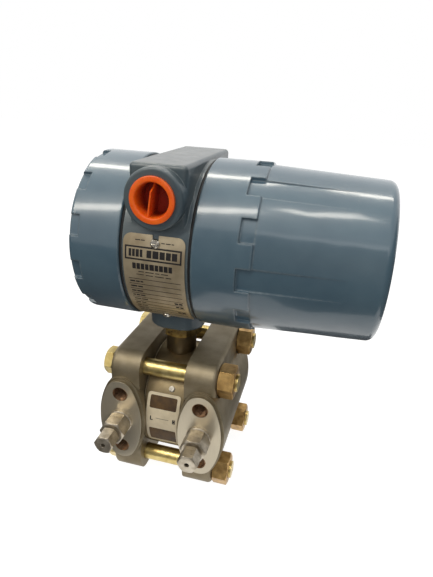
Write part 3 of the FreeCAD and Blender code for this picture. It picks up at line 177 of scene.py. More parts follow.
class ShaderGraph(NodeTree):
    """The node graph of one material, with its Principled surface and Object coordinates."""

    def __init__(self, name: str) -> None:
        """Start a material with nothing but its surface and output.

        Args:
            name: Name of the material.
        """
        self.material = bpy.data.materials.new(name)
        self.material.use_nodes = True
        super().__init__(self.material.node_tree)
        self.surface = self.tree.nodes["Principled BSDF"]
        self.place = self.add("ShaderNodeTexCoord").outputs["Object"]

    def surface_set(self, **values: Any) -> None:
        """Set or link the Principled surface's inputs, named with underscores for spaces."""
        for key, value in values.items():
            self.feed(self.surface.inputs[key.replace("_", " ")], value)

    def axes(self) -> tuple[Socket, Socket, Socket]:
        """The x, y and z of the place on the object."""
        x, y, z = self.add("ShaderNodeSeparateXYZ", {0: self.place}).outputs
        return x, y, z

    def stretched(self, scale: Sequence[float]) -> Socket:
        """Object coordinates stretched by a scale for each axis."""
        return self.add("ShaderNodeMapping", {"Vector": self.place, "Scale": scale}).outputs[0]

    def noise(self, grain: float, detail: float = 3.0, vector: Socket | None = None) -> Socket:
        """Soft noise whose features are about one grain wide, on plain or stretched coordinates."""
        inputs = {"Vector": vector or self.place, "Scale": 1.0 / grain, "Detail": detail}
        return self.add("ShaderNodeTexNoise", inputs).outputs["Fac"]

    def pits(self, grain: float) -> Socket:
        """Distance to scattered points, as the dimples of a blasted casting."""
        inputs = {"Vector": self.place, "Scale": 1.0 / grain}
        return self.add("ShaderNodeTexVoronoi", inputs).outputs["Distance"]

    def between(self, source: Socket, low: float, high: float, start: float = 0.0,
                end: float = 1.0) -> Socket:
        """Map a socket from low and high onto start and end, clamped."""
        inputs = {"Value": source, "From Min": low, "From Max": high, "To Min": start, "To Max": end}
        return self.add("ShaderNodeMapRange", inputs).outputs["Result"]

    def blend(self, share: Socket, first: Any, second: Any) -> Socket:
        """Mix two colours or sockets by a share that is 0 for the first and 1 for the second."""
        ends = [opaque(value) if isinstance(value, tuple) else value for value in (first, second)]
        return self.add("ShaderNodeMix", {0: share, 6: ends[0], 7: ends[1]}, data_type="RGBA").outputs[2]

    def round_edges(self, radius: float) -> Socket:
        """A normal that rounds the shape's edges, as a tumbled or painted edge is."""
        return self.add("ShaderNodeBevel", {"Radius": radius}, samples=6).outputs[0]

    def edge_share(self, rounded: Socket) -> Socket:
        """How near the place is to an edge: 0 on open surfaces and 1 on the edge itself.

        Args:
            rounded: The normal that rounds the edges.

        Returns:
            The share's socket.
        """
        plain = self.add("ShaderNodeNewGeometry").outputs["Normal"]
        match = self.add("ShaderNodeVectorMath", {0: rounded, 1: plain}, operation="DOT_PRODUCT")
        return self.between(match.outputs["Value"], 0.985, 0.90)

    def facing_up(self) -> Socket:
        """How much the surface faces up: 1 where dirt settles and the tops get painted shade."""
        normal = self.add("ShaderNodeNewGeometry").outputs["Normal"]
        return self.between(self.add("ShaderNodeSeparateXYZ", {0: normal}).outputs[2], 0.90, 0.995)

    def relief(self, height: Socket, depth: float, strength: float, normal: Socket | None = None) -> Socket:
        """Surface relief from a height.

        Args:
            height: Height between 0 and 1.
            depth: Real depth in metres that the height stands for.
            strength: How strongly it shows.
            normal: Normal that it is laid over.

        Returns:
            The changed normal's socket.
        """
        inputs = {"Strength": strength, "Distance": depth, "Height": height}
        if normal is not None:
            inputs["Normal"] = normal
        return self.add("ShaderNodeBump", inputs).outputs[0]


# Finishes


class Grain(Enum):
    """How a metal surface was worked."""

    BLASTED = "blasted"
    TURNED_ABOUT_X = "turned about x"
    TURNED_ABOUT_Y = "turned about y"
    TURNED_ABOUT_Z = "turned about z"
    BRUSHED_ALONG_X = "brushed along x"
    DRAWN = "drawn"


GRAIN_SCALES: dict[Grain, tuple[float, float, float]] = {
    Grain.TURNED_ABOUT_X: (9.0, 0.25, 0.25),
    Grain.TURNED_ABOUT_Y: (0.25, 9.0, 0.25),
    Grain.TURNED_ABOUT_Z: (0.25, 0.25, 9.0),
    Grain.BRUSHED_ALONG_X: (0.2, 6.0, 6.0),
    Grain.DRAWN: (1.0, 1.0, 1.0),
}


@dataclass(frozen=True)
class PaintFinish:
    """Baked paint on cast aluminium, with faint orange peel, handling marks, and lighter edges that are
    partly rubbed through and partly a painted highlight.
    """

    name: str
    colour: Colour
    faded: Colour
    roughness: float
    coat: float
    coat_roughness: float
    peel: float
    edge: float
    wear_and_highlight: float
    peel_grain: float = 2.2 * MM
    dust_and_shade: float = 0.0
    speckle: float = 0.03
    bare_edge_and_highlight: Colour = tone(196, 204, 204)
    dust_and_shade_tone: Colour = tone(104, 102, 96)
    cloud_grain: float = 26 * MM
    speck_grain: float = 1.1 * MM
    rub_grain: float = 2.6 * MM
    dust_and_shade_grain: float = 2.4 * MM
    smear_grain: float = 9 * MM

    def build(self) -> Material:
        """Make the paint's material."""
        graph = ShaderGraph(self.name)
        rounded = graph.round_edges(self.edge)
        cloud = graph.between(graph.noise(self.cloud_grain, 4.0), 0.38, 0.66)
        specks = graph.between(graph.noise(self.speck_grain, 2.0), 0.62, 0.74, 0.0, self.speckle)
        base = graph.blend(cloud, self.colour, self.faded)
        light = tuple(min(1.0, share * 1.5 + 0.01) for share in self.faded)
        shade = graph.blend(specks, base, light)
        # Lighter edges: partly paint rubbed through to bare metal, partly a painted highlight along the
        # rounded edges.
        rubbed = graph.between(graph.noise(self.rub_grain, 3.0), 0.42, 0.60, 0.45, 1.0)
        worn_and_lit = graph.calc("MULTIPLY", graph.calc("MULTIPLY", graph.edge_share(rounded), rubbed), self.wear_and_highlight)
        shade = graph.blend(worn_and_lit, shade, self.bare_edge_and_highlight)
        if self.dust_and_shade:
            # Tops facing up take a dark tone: partly settled dirt, partly painted shade that makes the lit
            # tops darker.
            patch = graph.between(graph.noise(self.dust_and_shade_grain, 6.0), 0.36, 0.62, 0.25, 1.0)
            dust_and_shade_share = graph.calc("MULTIPLY", graph.calc("MULTIPLY", graph.facing_up(), patch), self.dust_and_shade)
            shade = graph.blend(dust_and_shade_share, shade, self.dust_and_shade_tone)
        normal = graph.relief(graph.noise(self.peel_grain, 2.0), 0.05 * MM, self.peel, rounded)
        smears = graph.noise(self.smear_grain, 5.0)
        rough = graph.between(smears, 0.3, 0.7, self.roughness - 0.05, self.roughness + 0.07)
        graph.surface_set(Base_Color=shade, Roughness=rough, Coat_Weight=self.coat,
                          Coat_Roughness=self.coat_roughness, Normal=normal)
        return graph.material


@dataclass(frozen=True)
class MetalFinish:
    """Bare or plated metal with the marks of how it was worked."""

    name: str
    colour: Colour
    stained: Colour
    roughness: float
    grain: Grain
    relief: float
    cloud: float = 12 * MM
    edge: float = 0.25 * MM
    metallic: float = 1.0
    blast_grain: float = 1.3 * MM
    pit_grain: float = 0.75 * MM
    mark_grain: float = 2.4 * MM

    def worked(self, graph: ShaderGraph) -> Socket:
        """The height pattern that the work left.

        Args:
            graph: Graph of the material.

        Returns:
            A socket between 0 and 1.
        """
        if self.grain is Grain.BLASTED:
            coarse, fine = graph.noise(self.blast_grain, 3.0), graph.pits(self.pit_grain)
            return graph.calc("ADD", graph.calc("MULTIPLY", coarse, 0.6), graph.calc("MULTIPLY", fine, 0.5))
        return graph.noise(self.mark_grain, 4.0, graph.stretched(GRAIN_SCALES[self.grain]))

    def build(self) -> Material:
        """Make the metal's material."""
        graph = ShaderGraph(self.name)
        marks = self.worked(graph)
        stain = graph.between(graph.noise(self.cloud, 5.0), 0.35, 0.68)
        colour = graph.blend(stain, self.colour, self.stained)
        rough = graph.between(marks, 0.25, 0.75, self.roughness - 0.06, self.roughness + 0.10)
        normal = graph.relief(marks, 0.04 * MM, self.relief, graph.round_edges(self.edge))
        graph.surface_set(Base_Color=colour, Metallic=self.metallic, Roughness=rough, Normal=normal)
        return graph.material


@dataclass(frozen=True)
class CastingFinish(MetalFinish):
    """Blasted stainless casting whose pad faces are milled bright."""

    milled: Colour = (0.7, 0.65, 0.55)
    milled_from: float = PAD_FACE - 0.1 * MM
    milled_roughness: float = 0.34
    swirl_grain: float = 1.6 * MM

    def build(self) -> Material:
        """Make the casting's material, with its milled zones by place."""
        graph = ShaderGraph(self.name)
        marks = self.worked(graph)
        reach = graph.calc("ABSOLUTE", graph.axes()[1])
        on_pad = graph.between(reach, self.milled_from, self.milled_from + 0.05 * MM)
        stain = graph.between(graph.noise(self.cloud, 5.0), 0.32, 0.70)
        cast = graph.blend(stain, self.colour, self.stained)
        swirl = graph.noise(self.swirl_grain, 3.0, graph.stretched((6.0, 1.0, 0.35)))
        bright = tuple(share * 0.82 for share in self.milled)
        colour = graph.blend(on_pad, cast, graph.blend(swirl, self.milled, bright))
        rough = graph.between(on_pad, 0.0, 1.0, self.roughness, self.milled_roughness)
        height = graph.calc("MULTIPLY", marks, graph.between(on_pad, 0.0, 1.0, 1.0, 0.12))
        normal = graph.relief(height, 0.12 * MM, self.relief, graph.round_edges(self.edge))
        graph.surface_set(Base_Color=colour, Metallic=self.metallic, Roughness=rough, Normal=normal)
        return graph.material


@dataclass(frozen=True)
class PlasticFinish:
    """Moulded plastic, film or rubber."""

    name: str
    colour: Colour
    shaded: Colour
    roughness: float
    depth: float = 0.0
    texture: float = 0.15
    grain: float = 0.9 * MM
    recess_shade: tuple[float, float] | None = None
    cloud_grain: float = 7 * MM

    def build(self) -> Material:
        """Make the plastic's material, with painted shade that deepens over a range of Y where one is given.
        """
        graph = ShaderGraph(self.name)
        cloud = graph.between(graph.noise(self.cloud_grain, 3.0), 0.35, 0.65)
        colour = graph.blend(cloud, self.colour, self.shaded)
        if self.recess_shade:
            # Painted shade: the colour darkens deeper in the bore, over the given range of Y, where little
            # light reaches.
            dark = (self.colour[0] * 0.3, self.colour[1] * 0.1, self.colour[2] * 0.3)
            colour = graph.blend(graph.between(graph.axes()[1], *self.recess_shade), colour, dark)
        fine = graph.noise(self.grain, 2.0)
        rough = graph.between(fine, 0.3, 0.7, self.roughness - 0.04, self.roughness + 0.06)
        normal = graph.relief(fine, 0.03 * MM, self.texture, graph.round_edges(0.2 * MM))
        graph.surface_set(Base_Color=colour, Roughness=rough, Normal=normal)
        if self.depth:
            graph.surface_set(Subsurface_Weight=0.25, Subsurface_Scale=self.depth)
        return graph.material


@dataclass(frozen=True)
class GlassFinish:
    """Fused insulator glass."""

    name: str
    colour: Colour

    def build(self) -> Material:
        """Make the glass's material."""
        graph = ShaderGraph(self.name)
        cloud = graph.between(graph.noise(4 * MM, 3.0), 0.3, 0.7)
        deep = tuple(share * 0.8 for share in self.colour)
        graph.surface_set(Base_Color=graph.blend(cloud, self.colour, deep), Roughness=0.12,
                          Transmission_Weight=0.6, IOR=1.5)
        return graph.material


@dataclass(frozen=True)
class LaminateFinish:
    """Circuit board under solder mask, with its copper showing as lighter tracks."""

    name: str
    mask: Colour
    track: Colour
    row_height: float = 1.3 * MM
    block_grain: float = 9 * MM

    def build(self) -> Material:
        """Make the board's material."""
        graph = ShaderGraph(self.name)
        rows = graph.calc("PINGPONG", graph.axes()[2], self.row_height)
        spots = graph.noise(self.block_grain, 0.0, graph.stretched((1.0, 1.0, 2.0)))
        blocks = graph.between(spots, 0.48, 0.52)
        lines = graph.between(rows, 0.85 * MM, 0.95 * MM)
        tracks = graph.calc("MULTIPLY", lines, blocks)
        graph.surface_set(Base_Color=graph.blend(tracks, self.mask, self.track), Roughness=0.32,
                          Normal=graph.relief(tracks, 0.05 * MM, 0.3))
        return graph.material


class Finish(Enum):
    """Every finish of the transmitter."""

    COVER_PAINT = PaintFinish("cover_paint", tone(68, 92, 107), tone(76, 100, 114), 0.34, coat=0.8,
                              coat_roughness=0.13, peel=0.03, edge=1.7 * MM, wear_and_highlight=0.2)
    BODY_PAINT = PaintFinish("body_paint", tone(64, 78, 86), tone(80, 90, 93), 0.42, coat=0.4,
                             coat_roughness=0.16, peel=0.7, edge=0.9 * MM, wear_and_highlight=0.3,
                             peel_grain=1.4 * MM, dust_and_shade=0.5, speckle=0.25)
    CASTING = CastingFinish("cast_stainless", tone(150, 139, 116), tone(126, 113, 88), 0.52,
                            Grain.BLASTED, 0.6, metallic=0.72, milled=tone(206, 195, 172))
    # The cell's own turned-steel tone, set darker overall as painted shade from the housing above it.
    CELL = MetalFinish("turned_cell", tone(140, 126, 98), tone(118, 102, 76), 0.44,
                       Grain.TURNED_ABOUT_X, 0.2)
    # The weld bead is lighter than the cell: partly its own tone, partly a painted highlight on the bead
    # rings.
    WELD = MetalFinish("weld_bead", tone(205, 196, 176), tone(170, 152, 122), 0.32,
                       Grain.TURNED_ABOUT_X, 0.3)
    NECK = MetalFinish("neck_steel", tone(148, 132, 104), tone(112, 98, 76), 0.38,
                       Grain.TURNED_ABOUT_Z, 0.25)
    LOCK = MetalFinish("lock_nut_steel", tone(178, 156, 106), tone(116, 98, 66), 0.30,
                       Grain.DRAWN, 0.3, 4 * MM)
    BOLT = MetalFinish("yellow_zinc", tone(222, 202, 140), tone(196, 172, 108), 0.32,
                       Grain.DRAWN, 0.25, 5 * MM)
    NUT = MetalFinish("orange_zinc", tone(204, 168, 108), tone(158, 124, 76), 0.36,
                      Grain.DRAWN, 0.3, 4 * MM)
    VENT = MetalFinish("vent_steel", tone(206, 196, 178), tone(160, 148, 128), 0.31,
                       Grain.TURNED_ABOUT_Y, 0.35, 4 * MM, metallic=0.8)
    PLATE = MetalFinish("nameplate_metal", tone(206, 190, 160), tone(164, 147, 119), 0.34,
                        Grain.BRUSHED_ALONG_X, 0.2, 13 * MM, 0.12 * MM, 0.6)
    SCREW = MetalFinish("screw_steel", tone(206, 200, 188), tone(180, 172, 156), 0.26,
                        Grain.DRAWN, 0.15, 3 * MM)
    DIAPHRAGM = MetalFinish("diaphragm_foil", tone(200, 198, 192), tone(186, 182, 174), 0.24,
                            Grain.TURNED_ABOUT_X, 0.1)
    SEAL = PlasticFinish("seal_rubber", tone(18, 18, 18), tone(28, 28, 27), 0.55)
    # The plug's bore gets painted shade that deepens from its front inwards over this range of Y.
    PLUG = PlasticFinish("plug_plastic", tone(248, 110, 28), tone(238, 92, 18), 0.30, depth=1.0 * MM,
                         recess_shade=(-52.8 * MM, -45.0 * MM))
    LABEL = PlasticFinish("label_film", tone(222, 208, 180), tone(204, 190, 162), 0.34)
    INK = PlasticFinish("print_ink", tone(16, 12, 12), tone(26, 20, 18), 0.6)
    WINDOW = PlasticFinish("label_window", tone(92, 66, 30), tone(60, 40, 16), 0.6)
    GASKET = PlasticFinish("gasket_polymer", tone(226, 223, 212), tone(214, 210, 198), 0.5)
    WIRING = PlasticFinish("cable_cover", tone(34, 34, 36), tone(48, 48, 50), 0.5)
    BLOCK = PlasticFinish("block_plastic", tone(30, 30, 32), tone(40, 40, 42), 0.45)
    CONTACT = MetalFinish("contact_nickel", tone(206, 202, 190), tone(186, 180, 166), 0.25,
                          Grain.DRAWN, 0.1, 3 * MM)
    LAMINATE = LaminateFinish("board_laminate", tone(24, 84, 46), tone(54, 120, 70))
    GLASS = GlassFinish("insulator_glass", tone(190, 206, 196))
    THREAD = MetalFinish("cut_thread", tone(182, 146, 114), tone(132, 96, 70), 0.30,
                         Grain.DRAWN, 0.2, 3 * MM)


# Geometry node trees and plain meshes


def placed(name: str, data: Any) -> Object:
    """Put an object with its data in the scene.

    Args:
        name: Name of the object.
        data: Mesh, lamp or camera that it shows.

    Returns:
        The object.
    """
    thing = bpy.data.objects.new(name, data)
    bpy.context.scene.collection.objects.link(thing)
    return thing


def plain_mesh(name: str, points: Iterable[Sequence[float]], faces: Sequence[Sequence[int]] = ()) -> Mesh:
    """A mesh of loose points or plain faces.

    Args:
        name: Name of the mesh.
        points: Places of the points.
        faces: Indexes of each face's points.

    Returns:
        The mesh.
    """
    mesh = bpy.data.meshes.new(name)
    mesh.from_pydata([tuple(point) for point in points], [], faces)
    return mesh


def settled(piece: Object) -> Object:
    """Replace an object's mesh by its evaluated one and drop its modifiers.

    Args:
        piece: Object whose modifiers are done.

    Returns:
        The same object.
    """
    bpy.context.view_layer.update()
    evaluated = piece.evaluated_get(bpy.context.evaluated_depsgraph_get())
    mesh = bpy.data.meshes.new_from_object(evaluated, preserve_all_data_layers=True,
                                           depsgraph=bpy.context.evaluated_depsgraph_get())
    mesh.name = piece.name
    piece.modifiers.clear()
    piece.data = mesh
    return piece


class Recipe(NodeTree):
    """A Geometry Nodes tree with named inputs, and the plain meshes it makes."""

    def __init__(self, name: str) -> None:
        """Start a tree with a mesh input, a finish input and a mesh output.

        Args:
            name: Name of the tree.
        """
        super().__init__(bpy.data.node_groups.new(name, "GeometryNodeTree"))
        self.sockets: dict[str, str] = {}
        self.group_in = self.add("NodeGroupInput")
        self.group_out = self.add("NodeGroupOutput")
        for way in ("INPUT", "OUTPUT"):
            self.tree.interface.new_socket("Mesh", in_out=way, socket_type="NodeSocketGeometry")
        self.finish = self.takes("Finish", "NodeSocketMaterial")

    def takes(self, name: str, kind: str = "NodeSocketFloat") -> Socket:
        """Add a named input.

        Args:
            name: Name of the input.
            kind: Blender's socket type.

        Returns:
            The input's socket inside the tree.
        """
        item = self.tree.interface.new_socket(name, in_out="INPUT", socket_type=kind)
        self.sockets[name] = item.identifier
        return self.group_in.outputs[name]

    def seeds(self) -> Socket:
        """The mesh that the tree works on."""
        return self.group_in.outputs["Mesh"]

    def copies(self, points: Socket, instance: Socket, **inputs: Any) -> Socket:
        """Set a copy of an instance on each point."""
        given = {"Points": points, "Instance": instance, **inputs}
        return self.add("GeometryNodeInstanceOnPoints", given).outputs[0]

    def realised(self, geometry: Socket) -> Socket:
        """Turn a geometry's instances into plain meshes."""
        return self.add("GeometryNodeRealizeInstances", {"Geometry": geometry}).outputs[0]

    def ends_with(self, geometry: Socket) -> None:
        """Close the tree: realise what was instanced, set the finish and hand it out.

        Args:
            geometry: The last geometry of the tree.
        """
        inputs = {"Geometry": self.realised(geometry), "Material": self.finish}
        dressed = self.add("GeometryNodeSetMaterial", inputs)
        self.feed(self.group_out.inputs["Mesh"], dressed.outputs[0])

    def make(self, name: str, seed_mesh: Mesh, **values: Any) -> Object:
        """Run the tree on a mesh and keep the result as a plain mesh.

        Args:
            name: Name of the piece.
            seed_mesh: Mesh that the tree works on.
            values: Named inputs with underscores for spaces, and their values.

        Returns:
            An object with the finished mesh and no modifier.
        """
        made = placed(name, seed_mesh)
        modifier = made.modifiers.new("recipe", "NODES")
        modifier.node_group = self.tree
        for key, value in values.items():
            modifier[self.sockets[key.replace("_", " ")]] = value
        return settled(made)


class PrintWrap(Recipe):
    """Lays a flat print round a cylinder along X and adds ruled lines below it."""

    def __init__(self) -> None:
        """Build the tree: flat x and arc length become a place on the cylinder's front."""
        super().__init__("print_wrap")
        radius, axis_x, axis_z = self.takes("Radius"), self.takes("Axis X"), self.takes("Axis Z")
        lines = self.takes("Lines", "NodeSocketInt")
        pitch, top = self.takes("Pitch"), self.takes("Top")
        left, right = self.takes("Left"), self.takes("Right")
        stroke, gauge = self.takes("Stroke"), self.takes("Gauge")
        middle = self.calc("MULTIPLY", self.calc("ADD", left, right), 0.5)
        start = self.add("ShaderNodeCombineXYZ", {0: middle, 1: top})
        step = self.add("ShaderNodeCombineXYZ", {1: self.calc("MULTIPLY", pitch, -1.0)})
        rows = self.add("GeometryNodeMeshLine", {
            "Count": lines, "Start Location": start.outputs[0], "Offset": step.outputs[0]}, mode="OFFSET")
        width = self.calc("SUBTRACT", right, left)
        size = self.add("ShaderNodeCombineXYZ", {0: width, 1: stroke, 2: gauge})
        bar = self.add("GeometryNodeMeshCube", {"Size": size.outputs[0]})
        both = self.add("GeometryNodeJoinGeometry")
        for part in (self.seeds(), self.realised(self.copies(rows.outputs[0], bar.outputs[0]))):
            self.feed(both.inputs[0], part)
        place = self.add("GeometryNodeInputPosition").outputs[0]
        across, arc, lift = self.add("ShaderNodeSeparateXYZ", {0: place}).outputs
        angle = self.calc("DIVIDE", arc, radius)
        reach = self.calc("ADD", radius, lift)
        forward = self.calc("MULTIPLY", self.calc("MULTIPLY", reach, self.calc("COSINE", angle)), -1.0)
        height = self.calc("ADD", axis_z, self.calc("MULTIPLY", reach, self.calc("SINE", angle)))
        wrapped = self.add("ShaderNodeCombineXYZ", {
            0: self.calc("ADD", axis_x, across), 1: forward, 2: height})
        moved = self.add("GeometryNodeSetPosition", {
            "Geometry": both.outputs[0], "Position": wrapped.outputs[0]})
        self.ends_with(moved.outputs[0])


class Heading(Enum):
    """Turns that lay what runs along +Z along another direction."""

    REARWARD = (math.radians(-90), 0.0, 0.0)
    FORWARD = (math.radians(90), 0.0, 0.0)
    RIGHTWARD = (0.0, math.radians(90), 0.0)


@dataclass(frozen=True)
class ThreadSize:
    """Sizes of a visible screw thread."""

    radius: float
    pitch: float
    turns: float
    ridge: float
    steps: int


class ScrewThread(Recipe):
    """Helical ridges of one size at every point of a mesh, along a common direction."""

    def __init__(self) -> None:
        """Build the tree: a helix swept with a small profile, set on each point and turned."""
        super().__init__("screw_thread")
        radius, pitch, turns = self.takes("Radius"), self.takes("Pitch"), self.takes("Turns")
        ridge, steps = self.takes("Ridge"), self.takes("Steps", "NodeSocketInt")
        turn = self.takes("Direction", "NodeSocketVector")
        helix = self.add("GeometryNodeCurveSpiral", {
            "Resolution": steps, "Rotations": turns, "Start Radius": radius, "End Radius": radius,
            "Height": self.calc("MULTIPLY", pitch, turns)})
        upright = self.add("GeometryNodeSetCurveNormal", {"Curve": helix.outputs[0]}, mode="Z_UP")
        profile = self.add("GeometryNodeCurvePrimitiveCircle", {"Resolution": 4, "Radius": ridge})
        swept = self.add("GeometryNodeCurveToMesh", {
            "Curve": upright.outputs[0], "Profile Curve": profile.outputs[0], "Fill Caps": True})
        self.ends_with(self.copies(self.seeds(), swept.outputs[0], Rotation=turn))


class WeldBead(Recipe):
    """Overlapping ripples round a circle about the X axis."""

    def __init__(self) -> None:
        """Build the tree: a ring of beads, set on each point of the input."""
        super().__init__("weld_bead")
        radius, size = self.takes("Radius"), self.takes("Size")
        count = self.takes("Count", "NodeSocketInt")
        ring = self.add("GeometryNodeMeshCircle", {"Vertices": count, "Radius": radius})
        bead = self.add("GeometryNodeMeshUVSphere", {"Segments": 8, "Rings": 5, "Radius": size})
        ripples = self.copies(ring.outputs[0], bead.outputs[0])
        upright = self.add("GeometryNodeTransform", {
            "Geometry": ripples, "Rotation": Heading.RIGHTWARD.value})
        self.ends_with(self.copies(self.seeds(), upright.outputs[0]))


class TurnedPart:
    """A closed part about an axis that runs forward along -Y, of round and hexagonal stations."""

    def __init__(self, steps: int = 72) -> None:
        """Start a part without stations.

        Args:
            steps: Points round each station; a multiple of 12 puts one on every hexagon corner.
        """
        self.angles = [2 * math.pi * index / steps for index in range(steps)]
        self.stations: list[list[tuple[float, float]]] = []

    def rounds(self, *profile: tuple[float, float]) -> None:
        """Add round stations, each a distance along the axis and a radius."""
        self.stations += [[station] * len(self.angles) for station in profile]

    def hexagon(self, start: float, end: float, flats: float, rim: float) -> None:
        """Add a hexagon whose corners are bevelled from a round rim at both ends.

        Args:
            start: Where it starts along the axis.
            end: Where it ends.
            flats: Width across flats.
            rim: Radius of the bevel's rim at each end.
        """
        reach = [flats / 2 / math.cos((angle % (math.pi / 3)) - math.pi / 6) for angle in self.angles]
        slope = [max(0.0, radius - rim) * math.tan(math.radians(30)) for radius in reach]
        self.stations.append([(start, min(radius, rim)) for radius in reach])
        self.stations.append([(start + drop, radius) for drop, radius in zip(slope, reach)])
        self.stations.append([(end - drop, radius) for drop, radius in zip(slope, reach)])
        self.stations.append([(end, min(radius, rim)) for radius in reach])

    def done(self, name: str, x: float, z: float) -> Mesh:
        """Skin the stations and close both ends.

        Args:
            name: Name of the mesh.
            x: The axis's x.
            z: The axis's z.

        Returns:
            The mesh.
        """
        shape = bmesh.new()
        rings = [[shape.verts.new((x + radius * math.cos(angle), -reach, z + radius * math.sin(angle)))
                  for angle, (reach, radius) in zip(self.angles, station)] for station in self.stations]
        for first, second in zip(rings, rings[1:]):
            for a, b, c, d in zip(first, first[1:] + first[:1], second[1:] + second[:1], second):
                shape.faces.new((a, b, c, d))
        for ring, station in ((rings[0], self.stations[0]), (rings[-1], self.stations[-1])):
            middle = shape.verts.new((x, -station[0][0], z))
            for a, b in zip(ring, ring[1:] + ring[:1]):
                shape.faces.new((middle, a, b))
        bmesh.ops.recalc_face_normals(shape, faces=shape.faces)
        mesh = bpy.data.meshes.new(name)
        shape.to_mesh(mesh)
        shape.free()
        return mesh


def creased(mesh: Mesh, degrees: float) -> None:
    """Merge a mesh's doubled points, shade it smooth and keep its edges past an angle sharp.

    Args:
        mesh: The mesh to change.
        degrees: Angle past which an edge stays sharp.
    """
    shape = bmesh.new()
    shape.from_mesh(mesh)
    bmesh.ops.remove_doubles(shape, verts=shape.verts, dist=MERGE_DISTANCE)
    limit = math.radians(degrees)
    for face in shape.faces:
        face.smooth = True
    for edge in shape.edges:
        edge.smooth = len(edge.link_faces) == 2 and edge.calc_face_angle(math.pi) < limit
    shape.to_mesh(mesh)
    shape.free()


class FlatPrint:
    """A flat print of closed thin panels, in x and arc length, before it is wrapped."""

    bend_step = 1.2 * MM

    def __init__(self, gauge: float, sink: float) -> None:
        """Start an empty print.

        Args:
            gauge: How far the ink stands out of the surface.
            sink: How far its underside lies below the surface.
        """
        self.mesh = bmesh.new()
        self.gauge = gauge
        self.sink = sink

    def panel(self, left: float, right: float, low: float, high: float, corner: float = 0.0) -> None:
        """Add a closed panel, cut in rows so that it can bend round the cylinder.

        Args:
            left: Left edge.
            right: Right edge.
            low: Lower edge, as arc length above the front.
            high: Upper edge.
            corner: Radius of its corners.
        """
        rows = max(1, math.ceil((high - low) / self.bend_step))
        stops = [low + (high - low) * index / rows for index in range(rows + 1)]
        if corner:
            arc = [corner * (1 - math.cos(math.radians(angle))) for angle in (0, 30, 60)]
            stops += [low + step for step in arc] + [high - step for step in arc]
            stops += [low + corner, high - corner]
        stops = sorted(set(round(stop, 7) for stop in stops))
        layers: list[list[tuple[Any, Any]]] = []
        for lift in (-self.sink, self.gauge):
            pairs = []
            for stop in stops:
                inset = self.corner_inset(min(stop - low, high - stop), corner)
                pairs.append((self.mesh.verts.new((left + inset, stop, lift)),
                              self.mesh.verts.new((right - inset, stop, lift))))
            layers.append(pairs)
        under, over = layers
        for (a, b), (c, d), (e, f), (g, h) in zip(over, over[1:], under, under[1:]):
            for face in ((a, b, d, c), (e, g, h, f), (a, c, g, e), (d, b, f, h)):
                self.mesh.faces.new(face)
        for (a, b), (e, f) in ((over[0], under[0]), (over[-1][::-1], under[-1][::-1])):
            self.mesh.faces.new((b, a, e, f))

    @staticmethod
    def corner_inset(edge_distance: float, corner: float) -> float:
        """How far a rounded corner draws the side in.

        Args:
            edge_distance: Distance from the panel's nearer end.
            corner: Radius of the corner.

        Returns:
            The side's distance from the panel's straight side.
        """
        if edge_distance >= corner:
            return 0.0
        rest = corner - edge_distance
        return corner - math.sqrt(max(0.0, corner * corner - rest * rest))

    def outline(self, left: float, right: float, low: float, high: float, stroke: float) -> None:
        """Add a rectangular outline of one stroke width.

        Args:
            left: Left edge.
            right: Right edge.
            low: Lower edge.
            high: Upper edge.
            stroke: Width of the stroke.
        """
        self.panel(left, right, low, low + stroke)
        self.panel(left, right, high - stroke, high)
        self.panel(left, left + stroke, low + stroke, high - stroke)
        self.panel(right - stroke, right, low + stroke, high - stroke)

    def blocks(self, left: float, right: float, low: float, high: float, widths: Sequence[float],
               gap: float) -> None:
        """Add a row of plain blocks that fills a width.

        Args:
            left: Left end of the row.
            right: Right end of the row.
            low: Lower edge.
            high: Upper edge.
            widths: Relative widths of the blocks.
            gap: Gap between two blocks.
        """
        room = right - left - gap * (len(widths) - 1)
        place = left
        for width in widths:
            reach = room * width / sum(widths)
            self.panel(place, place + reach, low, high)
            place += reach + gap

    def sign(self, letter: str, middle: float, low: float, height: float, weight: float) -> None:
        """Add one plain letter that marks a pressure side.

        Args:
            letter: L or H.
            middle: Its middle in x.
            low: Its lower edge.
            height: Its height.
            weight: Width of its strokes.
        """
        half = height * 0.3
        self.panel(middle - half, middle - half + weight, low, low + height)
        if letter == "L":
            self.panel(middle - half + weight, middle + half, low, low + weight)
        else:
            self.panel(middle + half - weight, middle + half, low, low + height)
            centre = low + (height - weight) / 2
            self.panel(middle - half + weight, middle + half - weight, centre, centre + weight)

    def done(self, name: str) -> Mesh:
        """Close the print.

        Args:
            name: Name of the mesh.

        Returns:
            The print as a mesh.
        """
        mesh = bpy.data.meshes.new(name)
        self.mesh.to_mesh(mesh)
        self.mesh.free()
        return mesh


# Sub-assemblies


